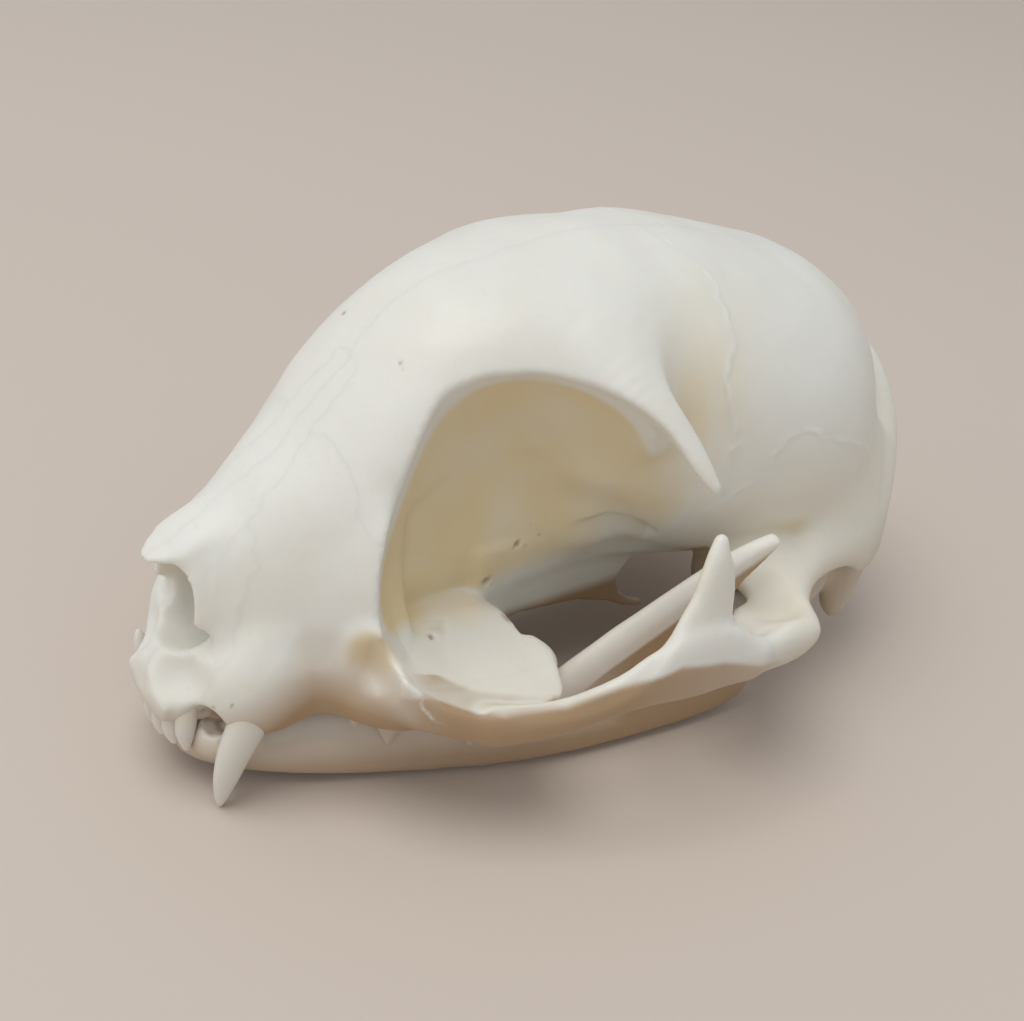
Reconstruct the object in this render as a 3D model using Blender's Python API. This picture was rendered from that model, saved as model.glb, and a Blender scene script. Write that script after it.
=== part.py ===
"""Domestic cat skull with its lower jaw, jaws closed, life size, as one still model.

Lengths below are millimetres in the skull's own frame: X towards the skull's left, Y from
the front of the upper jaw to the back of the head, Z up from the plane of the upper tooth
sockets. At the end the whole skull is lifted and centred, so that it lies on Z = 0 on the
lower edges of its jaw. Side tables describe the left side, and the right side mirrors them.
"""
import math

import bmesh
import bpy
from mathutils import Matrix, Vector

MM = 0.001

# Driving dimensions
CONDYLE_RADIUS = 2.2          # jaw joint
CONDYLE_CENTRE = (22.0, 62.5, 0.2)
CONDYLE_HALF_LENGTH = 6.0
JAW_CLEARANCE = 0.4           # air between the jaw and the skull in the joint
REST_HEIGHT = -12.3           # lower edge of the jaw, where the skull lies
SUTURE = 0.3                  # width of the cut between two bones
OUTSIDE = 60.0                # a place clear of the skull on every side
WALL_THICKNESS = 1.6          # thin wall between the eye sockets
RAMUS_THICKNESS = 1.8
RAMUS_LEAN = (12.55, 0.145, 0.205)   # x at y = 0 and z = 0, and its growth with y and z
WALL_LEAN = (7.6, -0.02, 0.06)
FREE_ARCH = slice(3, 10)      # rows of the cheek arch that stand free of the face and the braincase

# Grain of the mesh
VOXEL = 0.55
RING_POINTS = 36
SWEEP_POINTS = 16
SOFTEN_FACTOR = 0.5
CRANIUM_SOFTEN_ROUNDS = 3
JAW_SOFTEN_ROUNDS = 3
CRANIUM_FACES = 3600
MANDIBLE_FACES = 600
WELD_DISTANCE = 0.02
SLIVER_WIDTH = 0.01
SHARP_ANGLE = 50.0
SHARPEST_CORNER = 0.3         # cosine that limits how far a grown outline reaches at a corner

BONE = (0.83, 0.79, 0.70, 1.0)
JAW_BONE = (0.79, 0.71, 0.62, 1.0)
BONE_ROUGHNESS = 0.45

# Lofts along Y. Rows: y, half width, bottom, top, height of the widest point, squareness
BRAINCASE = [
    (35.0, 6.0, 20.0, 35.0, 27.0, 2.1),
    (38.0, 9.2, 16.6, 37.2, 26.6, 2.1),
    (42.0, 12.8, 12.5, 39.0, 25.5, 2.1),
    (47.0, 15.6, 9.0, 39.9, 24.5, 2.1),
    (52.0, 18.0, 4.6, 40.0, 23.0, 2.1),
    (58.0, 20.2, 2.4, 39.3, 21.0, 2.1),
    (65.0, 21.2, 1.6, 37.4, 19.0, 2.1),
    (71.0, 20.8, 1.0, 35.6, 17.5, 2.1),
    (76.5, 18.6, 0.5, 33.9, 16.0, 2.1),
    (81.5, 14.8, 0.5, 30.9, 14.5, 2.1),
    (85.5, 10.6, 1.0, 27.2, 14.0, 2.1),
    (88.0, 6.5, 5.0, 21.6, 14.5, 2.1),
]
FRONTAL_ROOF = [
    (10.0, 5.6, 10.0, 20.0, 14.5, 2.1),
    (13.0, 7.6, 12.0, 22.4, 16.0, 2.1),
    (16.0, 9.2, 13.0, 25.4, 18.0, 2.1),
    (20.0, 11.2, 15.0, 30.2, 21.0, 2.1),
    (24.0, 12.0, 17.0, 34.2, 23.5, 2.1),
    (28.0, 12.4, 19.0, 37.1, 25.5, 2.1),
    (32.0, 13.4, 20.0, 38.7, 27.0, 2.1),
    (36.0, 15.0, 20.5, 39.4, 27.5, 2.1),
    (40.0, 16.9, 20.5, 39.7, 27.5, 2.1),
    (44.0, 18.2, 19.0, 39.9, 27.0, 2.1),
    (49.0, 17.0, 17.0, 39.8, 26.0, 2.1),
    (56.0, 13.0, 16.0, 37.6, 26.0, 2.1),
]
MUZZLE = [
    (2.2, 4.5, -2.6, 14.2, 5.0, 2.7),
    (3.2, 5.1, -3.2, 15.6, 5.0, 2.6),
    (5.0, 6.3, -3.4, 17.0, 3.5, 2.4),
    (7.0, 7.7, -3.0, 18.1, 3.0, 2.3),
    (10.0, 9.4, -2.2, 19.9, 3.0, 2.3),
    (13.0, 11.0, -1.8, 22.0, 4.0, 2.3),
    (16.0, 13.2, -1.4, 23.4, 7.0, 2.3),
    (18.6, 15.2, -0.8, 24.4, 9.5, 2.6),
    (21.0, 15.0, -0.4, 24.8, 9.5, 2.6),
    (23.0, 13.6, 0.0, 24.4, 9.0, 2.3),
]
PREMAXILLA_FRONT = [
    (-0.4, 1.6, -3.0, -1.0, -2.0, 2.4),
    (0.3, 2.8, -3.8, 0.8, -2.2, 2.4),
    (1.2, 3.3, -4.0, 2.6, -2.0, 2.4),
    (2.6, 4.1, -3.8, 4.4, -1.6, 2.4),
    (5.0, 5.4, -3.4, 5.0, -1.0, 2.4),
]
ORBIT_WALL = [
    (16.0, 9.6, 1.0, 24.0, 10.0, 3.0),
    (22.0, 8.8, 1.2, 30.0, 12.0, 3.0),
    (28.0, 7.8, 1.2, 33.0, 12.0, 3.0),
    (34.0, 7.6, 1.4, 34.0, 12.0, 3.0),
    (40.0, 8.8, 3.0, 35.0, 14.0, 3.0),
    (46.0, 11.5, 4.0, 36.0, 16.0, 2.6),
    (52.0, 12.0, 4.0, 30.0, 16.0, 2.4),
]
PALATE = [
    (4.0, 5.0, -2.4, 3.6, 1.0, 4.0),
    (12.0, 9.6, -1.0, 4.0, 2.0, 4.0),
    (20.0, 13.8, 0.4, 5.0, 3.0, 4.0),
    (27.0, 15.6, 0.8, 5.4, 3.0, 4.0),
    (32.4, 15.2, 0.8, 4.8, 2.6, 4.0),
    (35.0, 12.6, 0.2, 2.4, 1.4, 4.0),
    (37.0, 9.0, -0.9, 0.8, 0.0, 4.0),
]
ORBIT_FLOOR_CENTRE = 16.0     # middle of the eye socket's floor, off the mid plane
ORBIT_FLOOR = [
    (18.0, 3.4, 2.0, 6.4, 3.6, 3.0),
    (22.0, 7.0, 1.6, 5.4, 3.4, 3.0),
    (27.0, 8.8, 1.4, 5.0, 3.2, 3.0),
    (31.0, 8.8, 1.4, 5.0, 3.0, 3.0),
    (33.6, 7.8, 1.6, 4.6, 3.0, 3.0),
    (35.6, 5.2, 1.8, 3.8, 2.8, 3.0),
]
SKULL_FLOOR = [
    (38.0, 7.6, 3.0, 10.0, 6.0, 3.0),
    (48.0, 8.5, 3.4, 12.0, 7.0, 3.0),
    (60.0, 11.0, 1.8, 12.0, 7.0, 3.0),
    (70.0, 11.0, 1.0, 12.0, 6.0, 3.0),
    (80.0, 10.0, 0.2, 10.0, 5.0, 3.0),
    (85.5, 8.0, 0.8, 8.0, 4.5, 2.5),
]
ORBIT_CENTRE = 21.0           # middle of the eye socket, off the mid plane
ORBIT = [
    (16.6, 2.0, 11.0, 16.4, 13.4, 2.4),
    (17.5, 6.4, 8.0, 18.8, 13.5, 2.5),
    (18.7, 8.6, 6.4, 22.6, 14.5, 2.6),
    (20.3, 10.2, 5.4, 26.3, 15.2, 2.7),
    (22.2, 11.2, 4.6, 31.0, 16.0, 2.8),
    (25.2, 12.4, 3.6, 36.6, 17.5, 3.0),
    (28.4, 13.4, 3.2, 35.8, 17.5, 3.0),
    (31.4, 13.8, 3.0, 34.8, 18.0, 3.0),
    (35.0, 13.4, 3.0, 34.2, 18.0, 2.8),
    (39.6, 11.4, 4.4, 32.2, 18.0, 2.6),
    (43.4, 8.6, 8.6, 29.2, 18.0, 2.4),
    (46.6, 6.2, 12.6, 24.4, 18.0, 2.2),
    (50.0, 3.4, 15.0, 21.4, 18.0, 2.2),
    (52.0, 1.0, 17.0, 19.0, 18.0, 2.2),
]
NASAL_OPENING = [
    (-2.0, 4.7, 3.8, 13.8, 8.8, 2.4),
    (1.0, 4.7, 3.7, 14.0, 8.8, 2.4),
    (4.0, 4.4, 3.4, 14.6, 8.6, 2.4),
    (7.5, 3.9, 3.8, 13.8, 8.4, 2.3),
    (11.0, 2.8, 5.0, 12.6, 8.4, 2.2),
    (14.0, 1.2, 7.0, 10.6, 8.8, 2.2),
]

# Sweeps. Rows: x, y, z, height, thickness
ZYGOMATIC_ARCH = [
    (13.0, 17.6, 6.4, 7.8, 4.6),
    (16.2, 18.1, 6.0, 7.6, 3.8),
    (19.0, 19.2, 4.7, 6.8, 3.4),
    (21.3, 21.4, 3.2, 5.0, 3.0),
    (24.2, 25.4, 2.5, 4.2, 2.6),
    (26.8, 31.0, 3.4, 3.6, 2.3),
    (28.6, 36.8, 5.4, 3.9, 2.2),
    (29.8, 41.5, 7.2, 6.8, 2.2),
    (30.4, 46.5, 7.4, 7.2, 2.2),
    (30.9, 51.2, 6.2, 4.3, 2.4),
    (30.8, 55.8, 6.1, 4.8, 2.6),
    (29.6, 59.2, 5.7, 4.6, 3.2),
    (27.0, 61.2, 5.3, 4.2, 4.0),
    (22.6, 63.0, 5.3, 4.2, 5.0),
    (16.6, 64.5, 7.0, 8.0, 8.0),
]
JUGAL_PROCESS = [
    (29.8, 44.6, 7.6, 8.8, 2.2),
    (29.4, 45.0, 10.6, 7.2, 2.1),
    (28.9, 46.1, 13.8, 5.0, 2.0),
    (28.5, 46.4, 16.6, 3.8, 1.9),
    (28.2, 46.4, 18.4, 2.3, 1.6),
    (27.8, 46.8, 19.8, 1.1, 1.0),
]
POSTORBITAL_PROCESS = [
    (11.0, 42.0, 33.0, 9.0, 6.0),
    (15.6, 43.2, 31.6, 7.6, 4.4),
    (19.4, 44.6, 29.4, 5.0, 3.0),
    (22.6, 46.2, 26.4, 2.8, 2.0),
    (24.9, 47.7, 23.8, 1.1, 1.1),
]
TOOTH_RIDGE = [
    (2.6, 1.8, -1.0, 5.4, 3.2),
    (5.0, 4.4, -0.2, 6.6, 3.4),
    (8.0, 7.8, 0.4, 7.0, 3.6),
    (10.0, 12.2, 1.8, 5.6, 3.2),
    (12.2, 16.6, 1.6, 5.6, 3.2),
    (14.6, 22.0, 1.2, 5.4, 3.4),
    (16.4, 28.5, 1.2, 5.0, 3.4),
    (17.0, 33.0, 1.4, 4.0, 3.0),
    (17.0, 36.0, 1.0, 2.4, 2.2),
]
SQUAMOSAL_SHELF = [
    (29.6, 56.8, 6.4, 3.0, 8.0),
    (26.8, 57.8, 5.6, 2.5, 8.6),
    (23.5, 60.7, 5.4, 2.6, 5.0),
    (18.0, 62.8, 6.8, 6.0, 9.0),
]
NASAL_TIP = [
    (0.0, 9.0, 16.4, 3.0, 4.0),
    (0.0, 5.0, 15.6, 2.4, 5.4),
    (0.0, 3.0, 15.0, 1.8, 5.4),
    (0.0, 1.6, 14.6, 1.3, 4.2),
    (0.0, 0.5, 14.2, 0.9, 2.2),
]
MASTOID_WING = [
    (22.0, 64.6, 5.4, 3.4, 4.4),
    (20.6, 69.6, 7.0, 5.6, 4.0),
    (19.0, 74.6, 8.6, 11.6, 3.8),
    (17.2, 79.0, 8.6, 15.6, 3.8),
    (14.8, 82.4, 10.0, 15.0, 3.8),
    (12.0, 85.2, 13.0, 10.0, 3.4),
]
NUCHAL_CREST = [
    (0.0, 87.2, 22.8, 4.4, 3.4),
    (6.0, 87.6, 20.0, 4.2, 3.0),
    (10.6, 87.6, 14.8, 4.2, 2.8),
    (13.8, 85.2, 9.6, 4.2, 2.8),
    (16.2, 82.0, 4.0, 4.4, 3.0),
    (16.9, 80.4, -1.4, 4.6, 3.4),
    (16.2, 80.2, -5.4, 3.0, 2.8),
]
TEMPORAL_HOLLOW = [
    (13.2, 53.0, 38.6, 6.0, 3.4),
    (17.0, 50.4, 33.8, 7.6, 4.0),
    (19.6, 50.4, 28.4, 8.0, 4.0),
    (21.0, 52.4, 23.6, 6.0, 3.0),
]
MANDIBLE_BODY = [
    (2.0, 5.0, -7.0, 5.4, 4.6),
    (4.4, 7.0, -7.3, 6.2, 5.2),
    (7.0, 11.0, -7.5, 6.8, 4.8),
    (9.8, 18.0, -7.3, 8.8, 4.7),
    (13.3, 27.4, -7.1, 9.9, 4.6),
    (15.9, 34.6, -7.1, 9.8, 4.4),
    (17.7, 42.4, -7.0, 9.8, 4.0),
    (18.8, 50.0, -7.1, 9.4, 3.6),
    (19.5, 55.6, -7.8, 7.9, 3.2),
    (19.8, 58.8, -8.6, 6.1, 3.0),
    (20.0, 61.2, -9.0, 4.2, 2.5),
    (20.1, 62.6, -9.0, 2.2, 1.8),
]
RAMUS_EDGE = [
    (17.2, 37.4, -3.4, 3.8, 2.6),
    (18.6, 41.0, 0.1, 4.2, 2.6),
    (20.0, 46.0, 4.3, 4.0, 2.3),
    (21.5, 51.4, 8.8, 3.4, 1.9),
    (22.7, 55.6, 12.3, 2.0, 1.4),
    (23.6, 58.4, 14.0, 0.8, 0.8),
]

# Side outlines of the thin plates: y, z
WALL_OUTLINE = [
    (33.0, 10.0), (33.0, -0.6), (36.0, -1.0), (38.0, -0.9), (40.0, -0.6), (44.0, -1.1), (48.1, -1.7),
    (52.8, -3.5), (55.6, -5.2), (58.2, -6.2), (58.8, -5.5), (56.4, -4.4), (54.4, -2.7), (53.6, -0.9),
    (53.9, 0.8), (55.0, 2.2), (56.8, 3.1), (60.0, 3.6), (60.0, 10.0),
]
RAMUS_OUTLINE = [
    (35.5, -5.0), (38.8, -1.2), (43.4, 3.0), (49.0, 7.8), (54.0, 11.8), (57.0, 13.7), (58.8, 14.4),
    (59.2, 13.9), (58.2, 11.8), (56.6, 9.4), (55.8, 7.2), (56.5, 4.6), (60.6, 1.8), (63.0, 0.6),
    (63.0, -2.6), (61.4, -5.6), (60.8, -8.4), (58.0, -9.6), (48.0, -9.6), (40.0, -8.6),
]

# Ellipsoids of one side: centre, radii, turn about Z in degrees
SWELLINGS = [
    ((8.0, 9.4, 2.2), (2.5, 4.6, 5.4), 0.0),         # root of the upper canine
    ((14.6, 20.4, 1.4), (4.4, 5.6, 3.4), -30.0),     # front foot of the cheek arch
    ((12.0, 71.6, 0.4), (7.2, 10.6, 7.6), 12.0),     # ear bulla
    ((17.0, 79.8, -2.4), (1.6, 1.8, 5.2), 0.0),      # point behind the ear
    ((7.4, 84.4, 4.6), (3.4, 4.0, 4.8), -20.0),      # joint with the neck
]
PITS = [
    ((18.0, 14.2, 6.4), (2.2, 2.8, 3.0), -20.0),     # hollow below the eye socket
    ((16.8, 16.4, 6.8), (1.2, 1.8, 1.9), -20.0),     # opening in that hollow
    ((6.8, 3.0, -3.4), (1.7, 2.2, 2.6), 0.0),        # notch before the canine
    ((22.0, 72.4, 0.4), (3.8, 5.6, 3.6), 12.0),      # ear opening
    ((25.4, 58.4, 9.8), (4.4, 4.0, 3.8), -30.0),     # hollow on the rear of the cheek arch
]
FORAMEN_MAGNUM = ((0.0, 88.0, 7.6), (6.4, 9.0, 5.0), 8.0)
JAW_SWELLINGS = [
    ((21.8, 61.6, -1.4), (2.6, 2.2, 2.6)),           # neck of the jaw joint
    ((1.8, 6.4, -7.2), (3.6, 4.2, 2.8)),             # chin
]

# Regions of the bones, as side outlines (y, z) or, for the base, a plan (x, y)
OCCIPITAL_SIDE = [
    (79.0, -30.0), (79.4, 2.0), (84.4, 16.0), (81.6, 34.0), (110.0, 34.0), (110.0, -30.0),
]
BASE_PLAN = [
    (-9.4, 33.0), (9.4, 33.0), (9.4, 58.0), (5.0, 64.0), (5.0, 78.7), (-5.0, 78.7), (-5.0, 64.0),
    (-9.4, 58.0),
]
BASE_TOP = 9.0
BONE_PLANS = {
    "nasal": [(0.0, -6.0), (4.8, -6.0), (4.6, 5.0), (2.8, 14.0), (2.0, 21.0), (0.0, 21.0)],
    "premaxilla": [(0.0, -8.0), (6.6, -8.0), (6.6, 5.0), (8.4, 9.6), (0.0, 9.6)],
}
MID_GAP = SUTURE / 2          # half of the cut between left and right
BONE_REGIONS = [
    ("zygomatic",
     [(17.2, 16.0), (21.4, -6.0), (57.0, -6.0), (56.4, 2.0), (50.8, 10.8), (53.0, 22.4), (30.0, 22.4)], 19.2),
    ("temporal",
     [(50.0, -20.0), (90.0, -20.0), (90.0, 8.0), (79.0, 12.0), (72.0, 21.0), (62.0, 22.0), (53.0, 16.0)],
     MID_GAP),
    ("parietal", [(52.0, 12.0), (55.6, 28.0), (56.6, 50.0), (96.0, 50.0), (96.0, 0.0)], MID_GAP),
    ("nasal", [(-6.0, 8.4), (22.4, 21.6), (22.4, 50.0), (-6.0, 50.0)], MID_GAP),
    ("frontal", [(17.0, 19.0), (22.0, 14.0), (33.0, 9.0), (60.0, 9.0), (60.0, 50.0), (15.0, 50.0)], MID_GAP),
    ("premaxilla", [(-6.0, -12.0), (4.4, -12.0), (5.0, 2.0), (9.2, 20.0), (-6.0, 20.0)], MID_GAP),
    ("maxilla", [(-6.0, -20.0), (60.0, -20.0), (60.0, 50.0), (-6.0, 50.0)], MID_GAP),
]

# Cone-shaped teeth. Rows: x, y, z, length along the jaw, width, from the root to the tip
TOOTH_SIDES = 6
UPPER_CANINE = [
    (8.9, 8.0, 1.6, 4.0, 3.0), (8.9, 7.2, -1.0, 4.4, 3.3), (8.9, 6.2, -3.4, 4.0, 3.1),
    (8.8, 5.3, -5.8, 3.5, 2.7), (8.7, 4.6, -8.4, 2.7, 2.1), (8.5, 4.2, -10.8, 1.5, 1.3),
    (8.4, 4.1, -12.3, 0.5, 0.5),
]
LOWER_CANINE = [
    (5.4, 4.8, -7.6, 3.0, 2.4), (6.0, 3.8, -5.2, 3.1, 2.5), (6.6, 2.9, -3.0, 2.5, 2.1),
    (7.0, 2.3, -1.2, 1.5, 1.3), (7.1, 2.1, -0.1, 0.5, 0.5),
]
UPPER_INCISORS = [
    [
        (1.0, 1.8, -2.2, 1.4, 1.2), (1.0, 1.0, -3.8, 1.6, 1.4),
        (1.0, 0.7, -5.6, 1.3, 1.4), (1.0, 0.8, -7.2, 0.5, 1.1),
    ],
    [
        (2.6, 2.0, -2.0, 1.5, 1.3), (2.6, 1.3, -3.6, 1.7, 1.5),
        (2.6, 1.2, -5.6, 1.4, 1.5), (2.6, 1.5, -7.2, 0.5, 1.1),
    ],
    [
        (4.4, 2.8, -0.8, 2.2, 1.9), (4.5, 2.3, -2.6, 2.3, 2.0),
        (4.6, 2.2, -4.8, 1.9, 1.7), (4.6, 2.6, -6.8, 0.6, 0.7),
    ],
]
LOWER_INCISORS = [
    [
        (0.9, 4.6, -7.4, 1.0, 0.9), (0.9, 4.2, -6.0, 1.0, 1.0),
        (0.9, 3.9, -4.9, 0.8, 1.0), (0.9, 3.8, -4.4, 0.4, 0.7),
    ],
    [
        (2.3, 4.8, -7.4, 1.1, 1.0), (2.3, 4.4, -6.0, 1.1, 1.1),
        (2.3, 4.1, -4.8, 0.9, 1.0), (2.3, 4.0, -4.3, 0.4, 0.7),
    ],
]

# Cheek teeth: middle of the root line, outward direction (x, y), length, width, and cusps
# (place along the tooth, height)
BLADE_SINK = 1.2              # depth of the roots in the bone
BLADE_SHOULDER = 0.4          # share of a cusp's height where its sides start to lean in
BLADE_CREST = 0.2             # width of the cutting edge, as a share of the tooth's width
BLADE_ENDS = 0.55             # width at the ends of the tooth, as a share of its middle
UPPER_BLADES = [
    ((13.2, 19.8, -1.2), (0.92, -0.40), 8.4, 2.5, [(0.12, -1.8), (0.56, -5.2), (0.88, -2.4)]),
    ((16.5, 28.8, -0.6), (0.96, -0.28), 10.8, 2.6, [(0.1, -3.0), (0.46, -6.0), (0.7, -4.0), (0.9, -5.0)]),
]
LOWER_BLADES = [
    ((7.6, 14.2, -3.4), (0.91, -0.42), 4.8, 2.1, [(0.16, 0.8), (0.5, 2.0), (0.84, 0.8)]),
    ((9.8, 20.4, -3.2), (0.92, -0.38), 6.2, 2.2, [(0.14, 1.0), (0.48, 2.6), (0.84, 1.2)]),
    ((12.0, 27.4, -2.8), (0.94, -0.32), 7.4, 2.2, [(0.24, 2.8), (0.5, 1.4), (0.76, 3.0)]),
]


def smooth_rows(rows, steps=6):
    """Rows on a Catmull-Rom curve through the given rows."""
    ends = [rows[0]] + list(rows) + [rows[-1]]
    result = []
    for before, start, end, after in zip(ends, ends[1:], ends[2:], ends[3:]):
        for step in range(steps):
            t = step / steps
            row = []
            for a, b, c, d in zip(before, start, end, after):
                bend = 2 * a - 5 * b + 4 * c - d + t * (3 * (b - c) + d - a)
                row.append(b + 0.5 * t * (c - a + t * bend))
            result.append(row)
    result.append(list(rows[-1]))
    return result


def add_object(name, bm):
    """Close the normals of a bmesh and link it as an object."""
    bmesh.ops.recalc_face_normals(bm, faces=bm.faces)
    mesh = bpy.data.meshes.new(name)
    bm.to_mesh(mesh)
    bm.free()
    obj = bpy.data.objects.new(name, mesh)
    bpy.context.scene.collection.objects.link(obj)
    return obj


def skin_rings(name, rings):
    """Closed body through a row of rings with equally many points."""
    bm = bmesh.new()
    loops = [[bm.verts.new(point * MM) for point in ring] for ring in rings]
    for first, second in zip(loops, loops[1:]):
        for i in range(len(first)):
            j = (i + 1) % len(first)
            bm.faces.new((first[i], first[j], second[j], second[i]))
    bm.faces.new(loops[0])
    bm.faces.new(loops[-1])
    return add_object(name, bm)


def power_curve(value, power):
    """Coordinate on a superellipse for a cosine or sine."""
    return math.copysign(abs(value) ** (2.0 / power), value)


def loft(name, rows, side=1, centre=0.0):
    """Body of superellipse sections along Y, its middle off the mid plane."""
    rings = []
    for y, half_width, bottom, top, widest, power in smooth_rows(rows):
        ring = []
        for i in range(RING_POINTS):
            angle = 2 * math.pi * i / RING_POINTS
            across = power_curve(math.cos(angle), power) * half_width
            rise = power_curve(math.sin(angle), power)
            reach = top - widest if rise > 0 else widest - bottom
            ring.append(Vector((side * centre + across, y, widest + rise * reach)))
        rings.append(ring)
    return skin_rings(name, rings)


def sweep(name, rows, side, up=(0, 0, 1)):
    """Flattened tube along a curve; its height lies along the up direction."""
    rows = smooth_rows(rows)
    upward = Vector((side * up[0], up[1], up[2]))
    centres = [Vector((side * row[0], row[1], row[2])) for row in rows]
    rings = []
    for i, row in enumerate(rows):
        along = (centres[min(i + 1, len(rows) - 1)] - centres[max(i - 1, 0)]).normalized()
        tall = upward - along * along.dot(upward)
        tall.normalize()
        thick = along.cross(tall)
        ring = []
        for k in range(SWEEP_POINTS):
            angle = 2 * math.pi * k / SWEEP_POINTS
            rise = tall * (math.sin(angle) * row[3] / 2)
            ring.append(centres[i] + rise + thick * (math.cos(angle) * row[4] / 2))
        rings.append(ring)
    return skin_rings(name, rings)


def ellipsoid(name, centre, radii, side=1, turn=0.0, tilt=0.0):
    """Ellipsoid turned about Z and tilted about X, in degrees."""
    bm = bmesh.new()
    place = Matrix.Translation(Vector((side * centre[0], centre[1], centre[2])) * MM)
    turned = Matrix.Rotation(math.radians(side * turn), 4, "Z") @ Matrix.Rotation(math.radians(tilt), 4, "X")
    size = Matrix.Diagonal((*(Vector(radii) * MM), 1.0))
    bmesh.ops.create_icosphere(bm, subdivisions=4, radius=1.0, matrix=place @ turned @ size)
    return add_object(name, bm)


def grown(outline, margin):
    """Outline with each edge moved outwards by the margin."""
    area = sum(a[0] * b[1] - b[0] * a[1] for a, b in zip(outline, outline[1:] + outline[:1]))
    turn = 1 if area > 0 else -1
    result = []
    for before, point, after in zip(outline[-1:] + outline[:-1], outline, outline[1:] + outline[:1]):
        into = (Vector(point) - Vector(before)).normalized()
        out = (Vector(after) - Vector(point)).normalized()
        normals = [Vector((edge.y, -edge.x)) * turn for edge in (into, out)]
        corner = (normals[0] + normals[1]).normalized()
        reach = margin / max(corner.dot(normals[0]), SHARPEST_CORNER)
        result.append(tuple(Vector(point) + corner * reach))
    return result


def prism(name, outline, low, high, margin=0.0, plane="YZ"):
    """Outline in the YZ or XY plane, extruded between low and high along the third axis."""
    bm = bmesh.new()
    corners = []
    for a, b in grown(outline, margin):
        point = (low - margin, a, b) if plane == "YZ" else (a, b, low - margin)
        corners.append(bm.verts.new(Vector(point) * MM))
    face = bm.faces.new(corners)
    depth = (high - low + 2 * margin) * MM
    offset = Vector((depth, 0, 0)) if plane == "YZ" else Vector((0, 0, depth))
    new = bmesh.ops.extrude_face_region(bm, geom=[face])["geom"]
    bmesh.ops.translate(bm, vec=offset, verts=[v for v in new if isinstance(v, bmesh.types.BMVert)])
    return add_object(name, bm)


def bake(obj):
    """Replace the mesh by what its modifiers make of it."""
    evaluated = obj.evaluated_get(bpy.context.evaluated_depsgraph_get())
    mesh = bpy.data.meshes.new_from_object(evaluated)
    obj.modifiers.clear()
    obj.data = mesh


def joined(objects, name):
    """One object that holds the meshes of all the given ones."""
    bm = bmesh.new()
    for obj in objects:
        bm.from_mesh(obj.data)
        bpy.data.objects.remove(obj)
    return add_object(name, bm)


def combine(obj, other, operation):
    """Boolean of obj with other, which is then removed."""
    modifier = obj.modifiers.new("combine", "BOOLEAN")
    modifier.operation = operation
    modifier.solver = "EXACT"
    modifier.object = other
    other.hide_render = True
    other.display_type = "WIRE"
    bake(obj)
    bpy.data.objects.remove(other)


def blend(obj):
    """Melt overlapping bodies into one skin of even grain."""
    remesh = obj.modifiers.new("skin", "REMESH")
    remesh.mode = "VOXEL"
    remesh.voxel_size = VOXEL * MM
    bake(obj)


def soften(obj, rounds):
    """Round the edges of a skin."""
    smooth = obj.modifiers.new("soften", "SMOOTH")
    smooth.factor = SOFTEN_FACTOR
    smooth.iterations = rounds
    bake(obj)


def reduce_faces(obj, faces):
    """Bring a skin down to about the given number of triangles."""
    obj.data.calc_loop_triangles()
    decimate = obj.modifiers.new("reduce", "DECIMATE")
    decimate.ratio = min(1.0, faces / len(obj.data.loop_triangles))
    decimate.use_collapse_triangulate = True
    bake(obj)


def bodies(bm):
    """Groups of connected vertices."""
    left = set(bm.verts)
    groups = []
    while left:
        start = left.pop()
        group = {start}
        edge = [start]
        while edge:
            for link in edge.pop().link_edges:
                for vert in link.verts:
                    if vert in left:
                        left.remove(vert)
                        group.add(vert)
                        edge.append(vert)
        groups.append(group)
    return groups


def keep_main_body(obj):
    """Drop the crumbs that a cut leaves, and slivers thinner than a hair."""
    bm = bmesh.new()
    bm.from_mesh(obj.data)
    groups = sorted(bodies(bm), key=len)
    crumbs = [vert for group in groups[:-1] for vert in group]
    bmesh.ops.delete(bm, geom=crumbs, context="VERTS")
    bmesh.ops.remove_doubles(bm, verts=bm.verts, dist=WELD_DISTANCE * MM)
    bmesh.ops.dissolve_degenerate(bm, dist=SLIVER_WIDTH * MM, edges=bm.edges)
    bmesh.ops.triangulate(bm, faces=bm.faces)
    bm.to_mesh(obj.data)
    bm.free()


def leaning_plate(name, outline, thickness, lean, side):
    """Thin upright plate whose place across the skull grows with y and z."""
    plate = prism(name, outline, -thickness / 2, thickness / 2)
    for vert in plate.data.vertices:
        across = lean[0] * MM + lean[1] * vert.co.y + lean[2] * vert.co.z
        vert.co.x = side * (vert.co.x + across)
    return plate


def cranium_forms():
    """All forms that melt into the bone of the upper skull."""
    forms = [
        loft("braincase", BRAINCASE), loft("roof", FRONTAL_ROOF), loft("muzzle", MUZZLE),
        loft("front", PREMAXILLA_FRONT), loft("orbit_wall", ORBIT_WALL), loft("palate", PALATE),
        loft("floor", SKULL_FLOOR), sweep("nasal_tip", NASAL_TIP, 1),
    ]
    for side in (1, -1):
        forms += [
            loft("orbit_floor", ORBIT_FLOOR, side, ORBIT_FLOOR_CENTRE),
            sweep("arch", ZYGOMATIC_ARCH, side),
            sweep("jugal", JUGAL_PROCESS, side, up=(0, 1, 0)),
            sweep("shelf", SQUAMOSAL_SHELF, side),
            sweep("mastoid", MASTOID_WING, side, up=(-0.4, 0, 0.92)),
            sweep("postorbital", POSTORBITAL_PROCESS, side, up=(0, 1, 0)),
            sweep("ridge", TOOTH_RIDGE, side),
            sweep("crest", NUCHAL_CREST, side, up=(0, 1, 0)),
            leaning_plate("wall", WALL_OUTLINE, WALL_THICKNESS, WALL_LEAN, side),
        ]
        forms += [ellipsoid("swelling", *row[:2], side, row[2]) for row in SWELLINGS]
    return forms


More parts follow.
